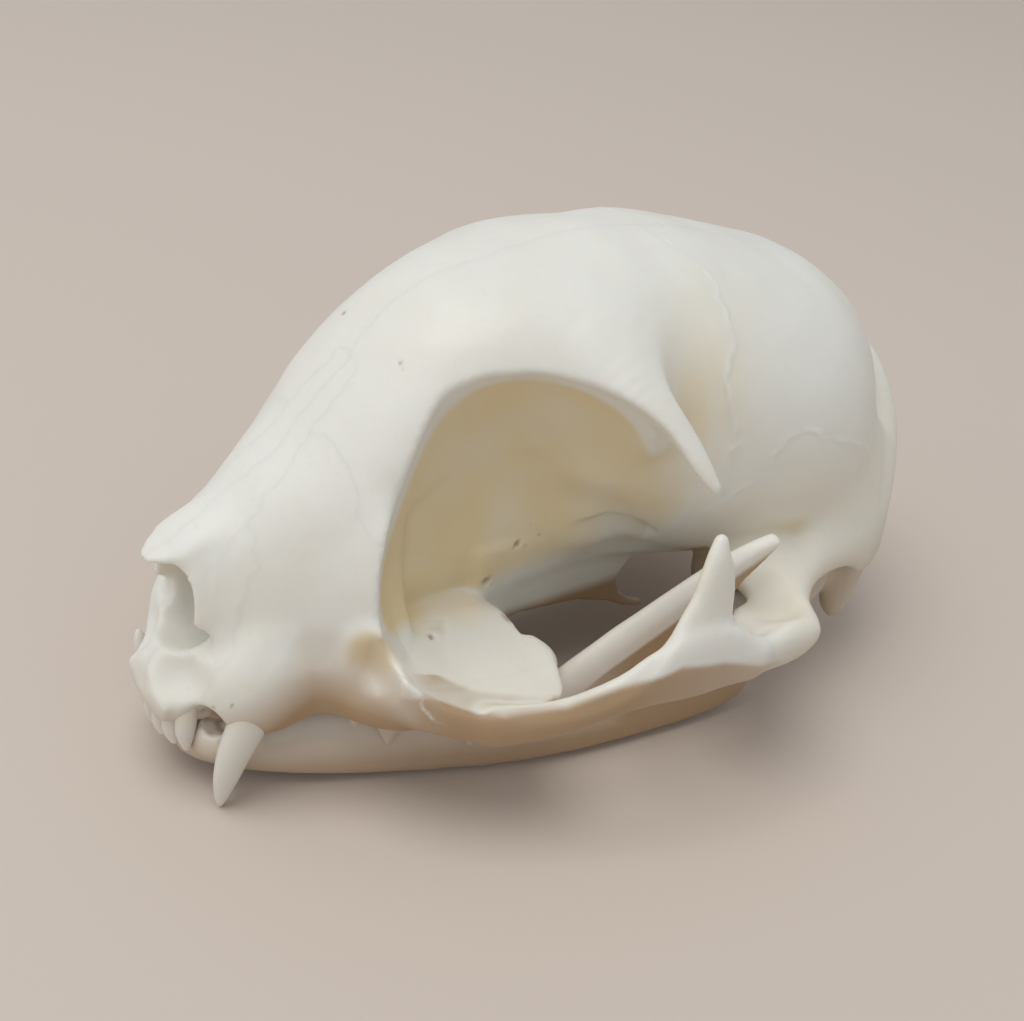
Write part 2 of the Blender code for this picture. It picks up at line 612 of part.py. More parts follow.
def cranium_hollows():
    """Cutters of every opening in the upper skull."""
    centre, radii, tilt = FORAMEN_MAGNUM
    hollows = [loft("nose", NASAL_OPENING), ellipsoid("foramen_magnum", centre, radii, tilt=tilt)]
    glenoid = CONDYLE_RADIUS + JAW_CLEARANCE
    for side in (1, -1):
        hollows += [
            loft("orbit", ORBIT, side, ORBIT_CENTRE),
            sweep("temporal", TEMPORAL_HOLLOW, side, up=(0, 1, 0)),
            ellipsoid("glenoid", CONDYLE_CENTRE, (7.2, glenoid, glenoid), side, turn=-6),
        ]
        hollows += [ellipsoid("pit", *row[:2], side, row[2]) for row in PITS]
    return hollows


def cheek_arches():
    """Free stretch of both cheek arches, which bounds the eye sockets from below."""
    arches = []
    for side in (1, -1):
        arches.append(sweep("arch", ZYGOMATIC_ARCH[FREE_ARCH], side))
        arches.append(sweep("jugal", JUGAL_PROCESS, side, up=(0, 1, 0)))
    return arches


def build_cranium():
    """The whole upper skull as one skin."""
    skull = joined(cranium_forms(), "cranium")
    blend(skull)
    hollows = joined(cranium_hollows(), "hollows")
    blend(hollows)
    combine(skull, hollows, "DIFFERENCE")
    skull = joined([skull] + cheek_arches(), "cranium")
    blend(skull)
    soften(skull, CRANIUM_SOFTEN_ROUNDS)
    reduce_faces(skull, CRANIUM_FACES)
    return skull


def build_mandible(side):
    """One half of the lower jaw, cut at the middle and level along its lower edge."""
    name = "mandible_left" if side > 0 else "mandible_right"
    condyle = (CONDYLE_HALF_LENGTH, CONDYLE_RADIUS, CONDYLE_RADIUS)
    forms = [
        sweep("body", MANDIBLE_BODY, side, up=(-0.2, 0, 0.98)),
        leaning_plate("ramus", RAMUS_OUTLINE, RAMUS_THICKNESS, RAMUS_LEAN, side),
        sweep("edge", RAMUS_EDGE, side, up=(0, -0.6, 0.8)),
        ellipsoid("condyle", CONDYLE_CENTRE, condyle, side, turn=-6),
    ]
    forms += [ellipsoid("swelling", *row, side) for row in JAW_SWELLINGS]
    jaw = joined(forms, name)
    blend(jaw)
    soften(jaw, JAW_SOFTEN_ROUNDS)
    reduce_faces(jaw, MANDIBLE_FACES)
    room = [(-OUTSIDE, REST_HEIGHT), (2 * OUTSIDE, REST_HEIGHT), (2 * OUTSIDE, OUTSIDE), (-OUTSIDE, OUTSIDE)]
    combine(jaw, prism("half", room, *span(side, MID_GAP, OUTSIDE)), "INTERSECT")
    keep_main_body(jaw)
    return jaw


def paint(obj, color):
    """Smooth shading and a bone material of the object's own."""
    obj.data.shade_smooth()
    obj.data.set_sharp_from_angle(angle=math.radians(SHARP_ANGLE))
    material = bpy.data.materials.new(obj.name + "_bone")
    material.use_nodes = True
    shader = material.node_tree.nodes["Principled BSDF"]
    shader.inputs["Base Color"].default_value = color
    shader.inputs["Roughness"].default_value = BONE_ROUGHNESS
    shader.inputs["Metallic"].default_value = 0.0
    obj.data.materials.clear()
    obj.data.materials.append(material)


def tooth(name, side, rows):
    """Pointed tooth through level oval sections."""
    rings = []
    for x, y, z, length, width in rows:
        ring = []
        for k in range(TOOTH_SIDES):
            angle = 2 * math.pi * k / TOOTH_SIDES
            ring.append(Vector((side * x + math.cos(angle) * width / 2, y + math.sin(angle) * length / 2, z)))
        rings.append(ring)
    return skin_rings(name, rings)


def blade(name, side, root, outward, length, width, cusps):
    """Cheek tooth: a ridge of cusps that hangs or stands on its root line."""
    across = Vector((side * outward[0], outward[1], 0.0)).normalized()
    along = Vector((across.y, -across.x, 0.0)) * -side
    start = Vector((side * root[0], root[1], root[2]))
    sunk = Vector((0.0, 0.0, -math.copysign(BLADE_SINK, cusps[0][1])))
    ends = [(0.0, cusps[0][1] * BLADE_SHOULDER)], [(1.0, cusps[-1][1] * BLADE_SHOULDER)]
    rings = []
    for share, height in ends[0] + cusps + ends[1]:
        middle = start + along * ((share - 0.5) * length)
        swell = BLADE_ENDS + (1 - BLADE_ENDS) * math.sin(math.pi * share)
        half = across * (width / 2 * swell)
        peak = Vector((0.0, 0.0, height))
        shoulder = peak * BLADE_SHOULDER
        rings.append([
            middle + sunk - half, middle + sunk + half, middle + shoulder + half,
            middle + peak + half * BLADE_CREST, middle + peak - half * BLADE_CREST, middle + shoulder - half,
        ])
    return skin_rings(name, rings)


def upper_teeth(side, part_name):
    """Teeth of one upper half: the incisors, or the canine and cheek teeth."""
    if part_name == "premaxilla":
        return [tooth("incisor", side, rows) for rows in UPPER_INCISORS]
    return [tooth("canine", side, UPPER_CANINE)] + [blade("premolar", side, *row) for row in UPPER_BLADES]


def lower_teeth(side):
    """Teeth of one half of the lower jaw; its left canine is missing."""
    teeth = [tooth("incisor", side, rows) for rows in LOWER_INCISORS]
    if side < 0:
        teeth.append(tooth("canine", side, LOWER_CANINE))
    return teeth + [blade("premolar", side, *row) for row in LOWER_BLADES]


def plant(bone, teeth):
    """Join teeth to the bone that they grow from."""
    for item in teeth:
        combine(bone, item, "UNION")
        keep_main_body(bone)


def copied(obj, name):
    """Object of its own with a copy of the mesh."""
    twin = bpy.data.objects.new(name, obj.data.copy())
    bpy.context.scene.collection.objects.link(twin)
    return twin


def span(side, inner, outer):
    """Low and high x of a slab on one side of the mid plane."""
    return (inner, outer) if side > 0 else (-outer, -inner)


def bone_regions():
    """Names of the bones, each with the prisms whose common part it fills, in the order of cutting."""
    rows = [
        ("occipital", [(OCCIPITAL_SIDE, -OUTSIDE, OUTSIDE, "YZ")]),
        ("skull_base", [(BASE_PLAN, -OUTSIDE, BASE_TOP, "XY")]),
    ]
    for label, outline, inner in BONE_REGIONS:
        for side, suffix in ((1, "left"), (-1, "right")):
            shapes = [(outline, *span(side, inner, OUTSIDE), "YZ")]
            if label in BONE_PLANS:
                plan = [(side * x, y) for x, y in BONE_PLANS[label]]
                shapes.append((plan, -OUTSIDE, OUTSIDE, "XY"))
            rows.append((label + "_" + suffix, shapes))
    return rows


def region_solid(shapes, margin):
    """Common part of prisms, each grown by the margin."""
    solids = [prism("region", outline, low, high, margin, plane) for outline, low, high, plane in shapes]
    for other in solids[1:]:
        combine(solids[0], other, "INTERSECT")
    return solids[0]


def divide_cranium(skull):
    """Part the upper skull along its sutures; each region leaves out the ones before it."""
    bones = []
    rows = bone_regions()
    for count, (name, shapes) in enumerate(rows):
        region = region_solid(shapes, 0.0)
        for _, taken in rows[:count]:
            combine(region, region_solid(taken, SUTURE), "DIFFERENCE")
        bone = copied(skull, name)
        combine(bone, region, "INTERSECT")
        keep_main_body(bone)
        bones.append(bone)
    bpy.data.objects.remove(skull)
    return bones


def add_upper_teeth(bones):
    """Grow the upper teeth from the bones in front."""
    for bone in bones:
        label, _, suffix = bone.name.partition("_")
        if label in ("premaxilla", "maxilla"):
            plant(bone, upper_teeth(1 if suffix == "left" else -1, label))


def settle(bones):
    """Stand the skull on Z = 0 with the middle of its box over the origin."""
    corners = [vert.co for bone in bones for vert in bone.data.vertices]
    low = Vector([min(corner[axis] for corner in corners) for axis in range(3)])
    high = Vector([max(corner[axis] for corner in corners) for axis in range(3)])
    move = Matrix.Translation(Vector((0.0, -(low.y + high.y) / 2, -low.z)))
    for bone in bones:
        bone.data.transform(move)


def main():
    """Build the skull and settle it on the ground."""
    for old in list(bpy.data.objects):
        bpy.data.objects.remove(old)
    bones = divide_cranium(build_cranium())
    add_upper_teeth(bones)
    for side in (1, -1):
        jaw = build_mandible(side)
        plant(jaw, lower_teeth(side))
        bones.append(jaw)
    settle(bones)
    for bone in bones:
        paint(bone, JAW_BONE if bone.name.startswith("mandible") else BONE)


main()
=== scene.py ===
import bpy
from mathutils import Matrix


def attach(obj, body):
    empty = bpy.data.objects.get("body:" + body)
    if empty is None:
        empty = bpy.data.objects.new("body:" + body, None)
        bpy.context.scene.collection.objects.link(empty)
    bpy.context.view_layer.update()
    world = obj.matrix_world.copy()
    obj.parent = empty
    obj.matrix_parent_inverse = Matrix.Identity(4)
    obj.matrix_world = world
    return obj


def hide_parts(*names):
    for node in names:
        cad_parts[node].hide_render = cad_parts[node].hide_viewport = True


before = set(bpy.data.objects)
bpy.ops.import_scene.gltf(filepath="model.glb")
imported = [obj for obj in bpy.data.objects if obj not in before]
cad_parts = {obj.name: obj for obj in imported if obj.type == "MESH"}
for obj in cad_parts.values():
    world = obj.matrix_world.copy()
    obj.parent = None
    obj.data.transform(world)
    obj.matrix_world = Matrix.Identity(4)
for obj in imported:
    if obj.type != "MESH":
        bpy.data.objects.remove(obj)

import copy
import math
from itertools import product

import bmesh
import bpy
import numpy as np
from mathutils import Matrix, Vector

bl_info = {
    "name": "Cat skull",
    "version": (1, 0, 0),
    "blender": (4, 5, 0),
    "location": "View3D > Sidebar > Skull",
    "description": "Life-size cat skull with closed jaws, each bone and tooth its own piece",
    "category": "Add Mesh",
}

# The tables below are in millimetres in the skull's own frame: X to its left, Y back from the
# front of the upper jaw, Z up from the upper tooth sockets. HOME carries them to the frame.
MM = 0.001
HOME = np.array([0.0, -44.68, 12.3])
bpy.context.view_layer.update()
BODY = "root"
# A distance that stands for "nowhere near", and the least slopes that distances are divided by
FAR = 9.0
LOFT_LEAST_SLOPE, BALL_LEAST_SLOPE = 0.02, 1e-4

# Lofts along Y. Rows: y, half width, bottom, top, height of the widest point, squareness
BRAINCASE = [
    (35, 6, 20, 35, 27, 2.1), (38, 9.2, 16.6, 37.2, 26.6, 2.1), (42, 12.8, 12.5, 39, 25.5, 2.1),
    (47, 15.6, 9, 39.9, 24.5, 2.1), (52, 18, 4.6, 40, 23, 2.1), (58, 20.2, 2.4, 39.3, 21, 2.1),
    (65, 21.2, 1.6, 37.4, 19, 2.1), (71, 20.8, 1, 35.6, 17.5, 2.1),
    (76.5, 18.6, 0.5, 33.9, 16, 2.1), (81.5, 14.8, 0.5, 30.9, 14.5, 2.1),
    (85.5, 10.6, 1, 27.2, 14, 2.1), (88, 6.5, 5, 21.6, 14.5, 2.1),
]
FRONTAL_ROOF = [
    (10, 5.6, 10, 20, 14.5, 2.1), (13, 7.6, 12, 22.4, 16, 2.1), (16, 9.2, 13, 25.4, 18, 2.1),
    (20, 11.2, 15, 30.2, 21, 2.1), (24, 12, 17, 34.2, 23.5, 2.1), (28, 12.4, 19, 37.1, 25.5, 2.1),
    (32, 13.4, 20, 38.7, 27, 2.1), (36, 15, 20.5, 39.4, 27.5, 2.1),
    (40, 16.9, 20.5, 39.7, 27.5, 2.1), (44, 18.2, 19, 39.9, 27, 2.1), (49, 17, 17, 39.8, 26, 2.1),
    (56, 13, 16, 37.6, 26, 2.1),
]
MUZZLE = [
    (2.2, 4.5, -2.6, 14.2, 5, 2.7), (3.2, 5.1, -3.2, 15.6, 5, 2.6), (5, 6.3, -3.4, 17, 3.5, 2.4),
    (7, 7.7, -3, 18.1, 3, 2.3), (10, 9.4, -2.2, 19.9, 3, 2.3), (13, 11, -1.8, 22, 4, 2.3),
    (16, 13.2, -1.4, 23.4, 7, 2.3), (18.6, 15.2, -0.8, 24.4, 9.5, 2.6),
    (21, 15, -0.4, 24.8, 9.5, 2.6), (23, 13.6, 0, 24.4, 9, 2.3),
]
PREMAXILLA_FRONT = [
    (-0.4, 1.6, -3, -1, -2, 2.4), (0.3, 2.8, -3.8, 0.8, -2.2, 2.4), (1.2, 3.3, -4, 2.6, -2, 2.4),
    (2.6, 4.1, -3.8, 4.4, -1.6, 2.4), (5, 5.4, -3.4, 5, -1, 2.4),
]
ORBIT_WALL = [
    (16, 9.6, 1, 24, 10, 3), (22, 8.8, 1.2, 30, 12, 3), (28, 7.8, 1.2, 33, 12, 3),
    (34, 7.6, 1.4, 34, 12, 3), (40, 8.8, 3, 35, 14, 3), (46, 11.5, 4, 36, 16, 2.6),
    (52, 12, 4, 30, 16, 2.4),
]
PALATE = [
    (4, 5, -2.4, 3.6, 1, 4), (12, 9.6, -1, 4, 2, 4), (20, 13.8, 0.4, 5, 3, 4),
    (27, 15.6, 0.8, 5.4, 3, 4), (32.4, 15.2, 0.8, 4.8, 2.6, 4), (35, 12.6, 0.2, 2.4, 1.4, 4),
    (37, 9, -0.9, 0.8, 0, 4),
]
ORBIT_FLOOR_CENTRE = 16.0
ORBIT_FLOOR = [
    (18, 3.4, 2, 6.4, 3.6, 3), (22, 7, 1.6, 5.4, 3.4, 3), (27, 8.8, 1.4, 5, 3.2, 3),
    (31, 8.8, 1.4, 5, 3, 3), (33.6, 7.8, 1.6, 4.6, 3, 3), (35.6, 5.2, 1.8, 3.8, 2.8, 3),
]
SKULL_FLOOR = [
    (38, 7.6, 3, 10, 6, 3), (48, 8.5, 3.4, 12, 7, 3), (60, 11, 1.8, 12, 7, 3),
    (70, 11, 1, 12, 6, 3), (80, 10, 0.2, 10, 5, 3), (85.5, 8, 0.8, 8, 4.5, 2.5),
]
APERTURE = [
    (-2, 4.7, 3.8, 13.8, 8.8, 2.4), (1, 4.7, 3.7, 14, 8.8, 2.4), (4, 4.4, 3.4, 14.6, 8.6, 2.4),
    (7.5, 3.9, 3.8, 13.8, 8.4, 2.3), (11, 2.8, 5, 12.6, 8.4, 2.2), (14, 1.2, 7, 10.6, 8.8, 2.2),
]
ORBIT_CENTRE = 21.0
ORBIT = [
    (16.6, 2, 11, 16.4, 13.4, 2.4), (17.5, 6.4, 8, 18.8, 13.5, 2.5),
    (18.7, 8.6, 6.4, 22.6, 14.5, 2.6), (20.3, 10.2, 5.4, 26.3, 15.2, 2.7),
    (22.2, 11.2, 4.6, 31, 16, 2.8), (25.2, 12.4, 3.6, 36.6, 17.5, 3),
    (28.4, 13.4, 3.2, 35.8, 17.5, 3), (31.4, 13.8, 3, 34.8, 18, 3), (35, 13.4, 3, 34.2, 18, 2.8),
    (39.6, 11.4, 4.4, 32.2, 18, 2.6), (43.4, 8.6, 8.6, 29.2, 18, 2.4),
    (46.6, 6.2, 12.6, 24.4, 18, 2.2), (50, 3.4, 15, 21.4, 18, 2.2), (52, 1, 17, 19, 18, 2.2),
]

# Sweeps. Rows: x, y, z, height, thickness
ZYGOMATIC_ARCH = [
    (13, 17.6, 6.4, 7.8, 4.6), (16.2, 18.1, 6, 7.6, 3.8), (19, 19.2, 4.7, 6.8, 3.4),
    (21.3, 21.4, 3.2, 5, 3), (24.2, 25.4, 2.5, 4.2, 2.6), (26.8, 31, 3.4, 3.6, 2.3),
    (28.6, 36.8, 5.4, 3.9, 2.2), (29.8, 41.5, 7.2, 6.8, 2.2), (30.4, 46.5, 7.4, 7.2, 2.2),
    (30.9, 51.2, 6.2, 4.3, 2.4), (30.8, 55.8, 6.1, 4.8, 2.6), (29.6, 59.2, 5.7, 4.6, 3.2),
    (27, 61.2, 5.3, 4.2, 4), (22.6, 63, 5.3, 4.2, 5), (16.6, 64.5, 7, 8, 8),
]
JUGAL_PROCESS = [
    (29.8, 44.6, 7.6, 8.8, 2.2), (29.4, 45, 10.6, 7.2, 2.1), (28.9, 46.1, 13.8, 5, 2),
    (28.5, 46.4, 16.6, 3.8, 1.9), (28.2, 46.4, 18.4, 2.3, 1.6), (27.8, 46.8, 19.8, 1.1, 1),
]
POSTORBITAL_PROCESS = [
    (11, 42, 33, 9, 6), (15.6, 43.2, 31.6, 7.6, 4.4), (19.4, 44.6, 29.4, 5, 3),
    (22.6, 46.2, 26.4, 2.8, 2), (24.9, 47.7, 23.8, 1.1, 1.1),
]
TOOTH_RIDGE = [
    (2.6, 1.9, -0.6, 4.4, 3), (5, 4.4, 0.2, 5.6, 3.2), (8, 7.8, 0.4, 7, 3.6),
    (10, 12.2, 1.8, 5.6, 3.2), (12.2, 16.6, 1.6, 5.6, 3.2), (14.6, 22, 1.2, 5.4, 3.4),
    (16.4, 28.5, 1.2, 5, 3.4), (17, 33, 1.4, 4, 3), (17, 36, 1, 2.4, 2.2),
]
SQUAMOSAL_SHELF = [
    (29.6, 56.8, 6.4, 3, 8), (26.8, 57.8, 5.6, 2.5, 8.6), (23.5, 60.7, 5.4, 2.6, 5),
    (18, 62.8, 6.8, 6, 9),
]
NASAL_TIP = [
    (0, 9, 16.4, 3, 4), (0, 5, 15.6, 2.4, 5.4), (0, 3, 15, 1.8, 5.4), (0, 1.6, 14.6, 1.3, 4.2),
    (0, 0.5, 14.2, 0.9, 2.2),
]
MASTOID_WING = [
    (22, 64.6, 5.4, 3.4, 4.4), (20.6, 69.6, 7, 5.6, 4), (19, 74.6, 8.6, 11.6, 3.8),
    (17.2, 79, 8.6, 15.6, 3.8), (14.8, 82.4, 10, 15, 3.8), (12, 85.2, 13, 10, 3.4),
]
NUCHAL_CREST = [
    (0, 87.2, 22.8, 4.4, 3.4), (6, 87.6, 20, 4.2, 3), (10.6, 87.6, 14.8, 4.2, 2.8),
    (13.8, 85.2, 9.6, 4.2, 2.8), (16.2, 82, 4, 4.4, 3), (16.9, 80.4, -1.4, 4.6, 3.4),
    (16.2, 80.2, -5.4, 3, 2.8),
]
TEMPORAL_HOLLOW = [
    (13.2, 53, 38.6, 6, 3.4), (17, 50.4, 33.8, 7.6, 4), (19.6, 50.4, 28.4, 8, 4),
    (21, 52.4, 23.6, 6, 3),
]
MANDIBLE_BODY = [
    (2, 5, -7, 5.4, 4.6), (4.4, 7, -7.3, 6.2, 5.2), (7, 11, -7.5, 6.8, 4.8),
    (9.8, 18, -7.3, 8.8, 4.7), (13.3, 27.4, -7.1, 9.9, 4.6), (15.9, 34.6, -7.1, 9.8, 4.4),
    (17.7, 42.4, -7, 9.8, 4), (18.8, 50, -7.1, 9.4, 3.6), (19.5, 55.6, -7.8, 7.9, 3.2),
    (19.8, 58.8, -8.6, 6.1, 3), (20, 61.2, -9, 4.2, 2.5), (20.1, 62.6, -9, 2.2, 1.8),
]
RAMUS_EDGE = [
    (17.2, 37.4, -3.4, 3.8, 2.6), (18.6, 41, 0.1, 4.2, 2.6), (20, 46, 4.3, 4, 2.3),
    (21.5, 51.4, 8.8, 3.4, 1.9), (22.7, 55.6, 12.3, 2, 1.4), (23.6, 58.4, 14, 0.8, 0.8),
]

# Outlines of plates seen from the side: y, z. The thin wall's outline is the opening beside it
PTERYGOID_OUTLINE = [
    (33, 10), (33, -0.6), (36, -1), (38, -0.9), (40, -0.6), (44, -1.1), (48.1, -1.7), (52.8, -3.5),
    (55.6, -5.2), (58.2, -6.2), (58.8, -5.5), (56.4, -4.4), (54.4, -2.7), (53.6, -0.9), (53.9, 0.8),
    (55, 2.2), (56.8, 3.1), (60, 3.6), (60, 10),
]
THIN_WALL_OUTLINE = [
    (34.6, -2), (34.8, 4.2), (36, 7.2), (37.8, 9.5), (40.6, 10.8), (43.6, 12.2), (46.6, 13.2),
    (50, 12.4), (52.2, 10.4), (52, -4),
]
RAMUS_OUTLINE = [
    (35.5, -5), (38.8, -1.2), (43.4, 3), (49, 7.8), (54, 11.8), (57, 13.7), (58.8, 14.4),
    (59.2, 13.9), (58.2, 11.8), (56.6, 9.4), (55.8, 7.2), (56.5, 4.6), (60.6, 1.8), (63, 0.6),
    (63, -2.6), (61.4, -5.6), (60.8, -8.4), (58, -9.6), (48, -9.6), (40, -8.6),
]
# Plates: outline, thickness, x where y and z are 0, lean (see RAMUS_FLARE), rounding of the rim
PTERYGOID = PTERYGOID_OUTLINE, 1.3, 7.6, (-0.02, 0.06), 0.5
THIN_WALL_HOLLOW = THIN_WALL_OUTLINE, 6.0, 5.6, (0.17, 0.02), 0.4
RAMUS_THICKNESS, RAMUS_RIM = 1.5, 0.5
# Where the ramus stands (x, y), and how far it leans out for each millimetre back and up
RAMUS_MIDDLE = (19.8, 50)
RAMUS_FLARE = (0.145, 0.205)
CONDYLE_CENTRE = (22, 62.5, 0.2)
CONDYLE_TURN = -6
CONDYLE_RADII, CONDYLE_BED_RADII = (6.0, 2.2, 2.2), (7.2, 2.6, 2.6)
CHIN_SEAM = 0.15
REST_HEIGHT = -12.3

# Ellipsoids: centre, radii and, where it has them, turn about Z and tilt about X in degrees
CANINE_SWELLING = (8, 9.4, 2.2), (2.5, 4.6, 5.4)
ARCH_ROOT = (14.6, 20.4, 1.4), (4.4, 5.6, 3.4), -30
EAR_CAPSULE = (12, 71.6, 0.4), (7.2, 10.6, 7.6), 12
EAR_PROCESS = (17, 79.8, -2.4), (1.6, 1.8, 5.2)
NECK_CONDYLE = (7.4, 84.4, 4.6), (3.4, 4, 4.8), -20
APERTURE_CORNER = (4.9, 3.4, 6.2), (1.4, 1.4, 1.6)
CHEEK_CANAL = (17, 15.2, 7), (3.2, 2.8, 3.4), -25
LIP_SIDE = (5.6, -0.4, 3.2), (4, 3.8, 3.6)
LOWER_CANINE_NOTCH = (6.8, 3.3, -2.9), (1.9, 2.5, 2.8)
EAR_OPENING = (22, 72.4, 0.4), (3.8, 5.6, 3.6), 12
ARCH_HOLLOW = (25.4, 58.4, 9.8), (4.4, 4, 3.8), -30
SPINE_OPENING = (0, 88, 7.6), (6.4, 9, 5), 0, 8
CONDYLE_NECK = (21.8, 61.6, -1.4), (2.6, 2.2, 2.6)
CHIN = (1.8, 6.4, -7.2), (3.6, 4.2, 2.8)
CANINE_BED = (5.5, 6.2, -5.4), (2.8, 3.2, 2.9)
EMPTY_SOCKET = (6, 4.8, -3), (1.5, 1.8, 1.5)

# Boxes that hold the left half of the upper skull and of the jaw
SKULL_BOX = (0, -2, -9), (34, 92, 43.5)
JAW_BOX = (0, -1, -13.4), (33, 67, 18)
# Rows of the cheek arch that stand free, regrown after the hollows are taken
FREE_ARCH = slice(4, 10)
# Directions in which a sweep's height lies
BACKWARDS = (0, 1, 0)
MASTOID_UP, JAW_UP, RAMUS_EDGE_UP = (-0.4, 0.0, 0.92), (-0.2, 0, 0.98), (0, -0.6, 0.8)

# Teeth. Sweep rows from the root to the tip: x, y, z, size along the jaw, width
UPPER_CANINE = [
    (8.9, 8, 1.6, 4, 3), (8.9, 7.2, -1, 4.4, 3.3), (8.9, 6.2, -3.4, 4, 3.1),
    (8.8, 5.3, -5.8, 3.5, 2.7), (8.7, 4.6, -8.4, 2.7, 2.1), (8.5, 4.2, -10.8, 1.5, 1.3),
    (8.4, 4.1, -12.1, 0.5, 0.5),
]
LOWER_CANINE = [
    (5.4, 4.8, -7.6, 3, 2.4), (6, 3.8, -5.2, 3.1, 2.5), (6.6, 2.9, -3, 2.5, 2.1),
    (7, 2.3, -1.2, 1.5, 1.3), (7.1, 2.1, -0.1, 0.5, 0.5),
]
UPPER_INCISORS = [
    [(1, 2, -1.4, 2.1, 1.5), (1, 1.4, -3.4, 2.3, 1.8), (1, 1.1, -5.2, 1.9, 1.8),
     (1, 1.1, -6.6, 1, 1.5)],
    [(2.8, 2.2, -1.2, 2.2, 1.6), (2.8, 1.7, -3.2, 2.4, 1.9), (2.8, 1.5, -5.2, 2, 1.8),
     (2.8, 1.6, -6.6, 1, 1.5)],
    [(4.3, 2.8, -0.8, 2.2, 1.9), (4.4, 2.4, -2.6, 2.3, 2), (4.4, 2.2, -4.8, 2, 1.8),
     (4.4, 2.3, -6.7, 0.9, 1)],
]
LOWER_INCISORS = [
    [(0.9, 4.6, -7.4, 1, 0.9), (0.9, 4.2, -6, 1, 1), (0.9, 3.9, -4.9, 0.8, 1),
     (0.9, 3.8, -4.4, 0.4, 0.7)],
    [(2.3, 4.8, -7.4, 1.1, 1), (2.3, 4.4, -6, 1.1, 1.1), (2.3, 4.1, -4.8, 0.9, 1),
     (2.3, 4, -4.3, 0.4, 0.7)],
]
# Cheek teeth: middle of the root line, direction along the jaw (x, y), length, width, cusps
# (place along the tooth, height, thickness)
UPPER_CHEEK_TEETH = [
    ((13.2, 19.8, -1.2), (0.40, 0.92), 8.4, 2.5,
     [(0.14, -3, 2.4), (0.56, -5.4, 4.2), (0.88, -3.2, 2.6)]),
    ((16.5, 28.8, -0.6), (0.28, 0.96), 11, 2.7,
     [(0.1, -3.2, 2), (0.46, -7.4, 3.6), (0.7, -4.4, 2.8), (0.9, -6, 2.8)]),
]
LOWER_CHEEK_TEETH = [
    ((7.6, 14.2, -3.4), (0.42, 0.91), 4.8, 2.1,
     [(0.16, 0.8, 1.2), (0.5, 2, 1.9), (0.84, 0.8, 1.3)]),
    ((9.8, 20.4, -3.2), (0.38, 0.92), 6.2, 2.2,
     [(0.14, 1, 1.4), (0.48, 2.6, 2.2), (0.84, 1.2, 1.5)]),
    ((12, 27.4, -2.8), (0.32, 0.94), 7.4, 2.2,
     [(0.24, 2.8, 2.8), (0.5, 1.4, 2), (0.76, 3, 2.6)]),
]
CROWN_HEIGHT, CUSP_TIP = 2.3, 0.34
TOOTH_GRAIN, TOOTH_ROOM = 0.16, 3.2
# Pieces of each kind: label, rows, sides (1 left, -1 right), slot. One lower canine is missing
TEETH = {
    "canine": [("upper_canine", [UPPER_CANINE], (1, -1), "skull_bone"),
               ("lower_canine", [LOWER_CANINE], (-1,), "jaw_bone")],
    "incisor": [("upper_incisor", UPPER_INCISORS, (1, -1), "skull_bone"),
                ("lower_incisor", LOWER_INCISORS, (1, -1), "jaw_bone")],
    "cheek": [("upper_cheek_tooth", UPPER_CHEEK_TEETH, (1, -1), "skull_bone"),
              ("lower_cheek_tooth", LOWER_CHEEK_TEETH, (1, -1), "jaw_bone")],
}

# Courses of two sutures in the side view: y, z
CORONAL_SUTURE = [
    (54.6, 41.8), (54.8, 40.1), (56.5, 37.6), (56.2, 35), (55.4, 32.6), (54, 30.7), (54.2, 29),
    (54.9, 25),
]
SQUAMOSAL_SUTURE = [
    (56.7, 18.1), (58.8, 20.4), (59.9, 22.8), (61.4, 23.9), (63.6, 24.1), (67.5, 22.4),
    (73.9, 19.6), (77.3, 16.9),
]
# Fine lines on the bone: nearest and farthest |x|, course (y, z), half width, lift, tint
LINES = [
    (3, 24, CORONAL_SUTURE, 0.42, 0.09, 1),
    (14, 24, [(54.4, 15.4)] + SQUAMOSAL_SUTURE, 0.42, 0.10, 1),
    (14, 24, [(54.5, 21.2), (54.8, 23.2), (56.9, 24.2)], 0.34, 0.08, 0.8),
    (3, 11, [(2.8, 5.8), (4.7, 11.8), (6.5, 18.5), (8.5, 19.9)], 0.5, 0.03, 0.3),
    (3, 11, [(8.5, 19.9), (7.9, 17), (7.4, 13), (6.2, 9), (4.4, 5.7)], 0.6, 0.05, 0.4),
    (5, 12, [(47.5, 4.1), (48.2, 5.8), (49.1, 6.9)], 0.3, 0.12, 0.9),
    (5, 12, [(47.5, 4.1), (50.6, 3.6), (53.8, 2.5)], 0.3, 0.10, 0.8),
    (5, 12, [(28.8, 9.6), (28.4, 7.4), (27.2, 5.5)], 0.3, 0.06, 0.6),
    (15, 23, [(18.2, 7), (18.9, 5.2), (20.2, 3.6), (21.6, 2.4)], 0.4, 0.05, 0.5),
]
# Small holes: centre, radius, depth, brownness. The brownness is stain with painted shade in the
# holes
SPOTS = [
    ((5.5, 23.5, 32.7), 0.30, 0.12, 0.6), ((0.4, 57.4, 39.4), 0.25, 0.06, 0.3),
    ((11.6, 26.5, 5.2), 0.9, 0.20, 0.25), ((12.5, 25, 5.2), 0.35, 0.30, 0.6),
    ((8, 34.6, 5.8), 0.5, 0.50, 0.6), ((8.3, 37.6, 9.9), 0.35, 0.30, 0.8),
    ((8.5, 38.9, 12), 0.22, 0.10, 0.5), ((8.7, 40, 10.7), 0.22, 0.10, 0.5),
    ((12.5, 34.2, 4.2), 0.6, 0.05, 0.5), ((10.8, 13.6, -1.8), 1, 0.40, 0.4),
    # The last two carve nothing: they paint the shade, and the light through thin bone, in the
    # empty lower canine socket under the lip
    ((6.6, 5.5, -2.3), 1.9, 0, 0.85), ((6, 4.8, -3.6), 1.2, 0, 0.4),
]
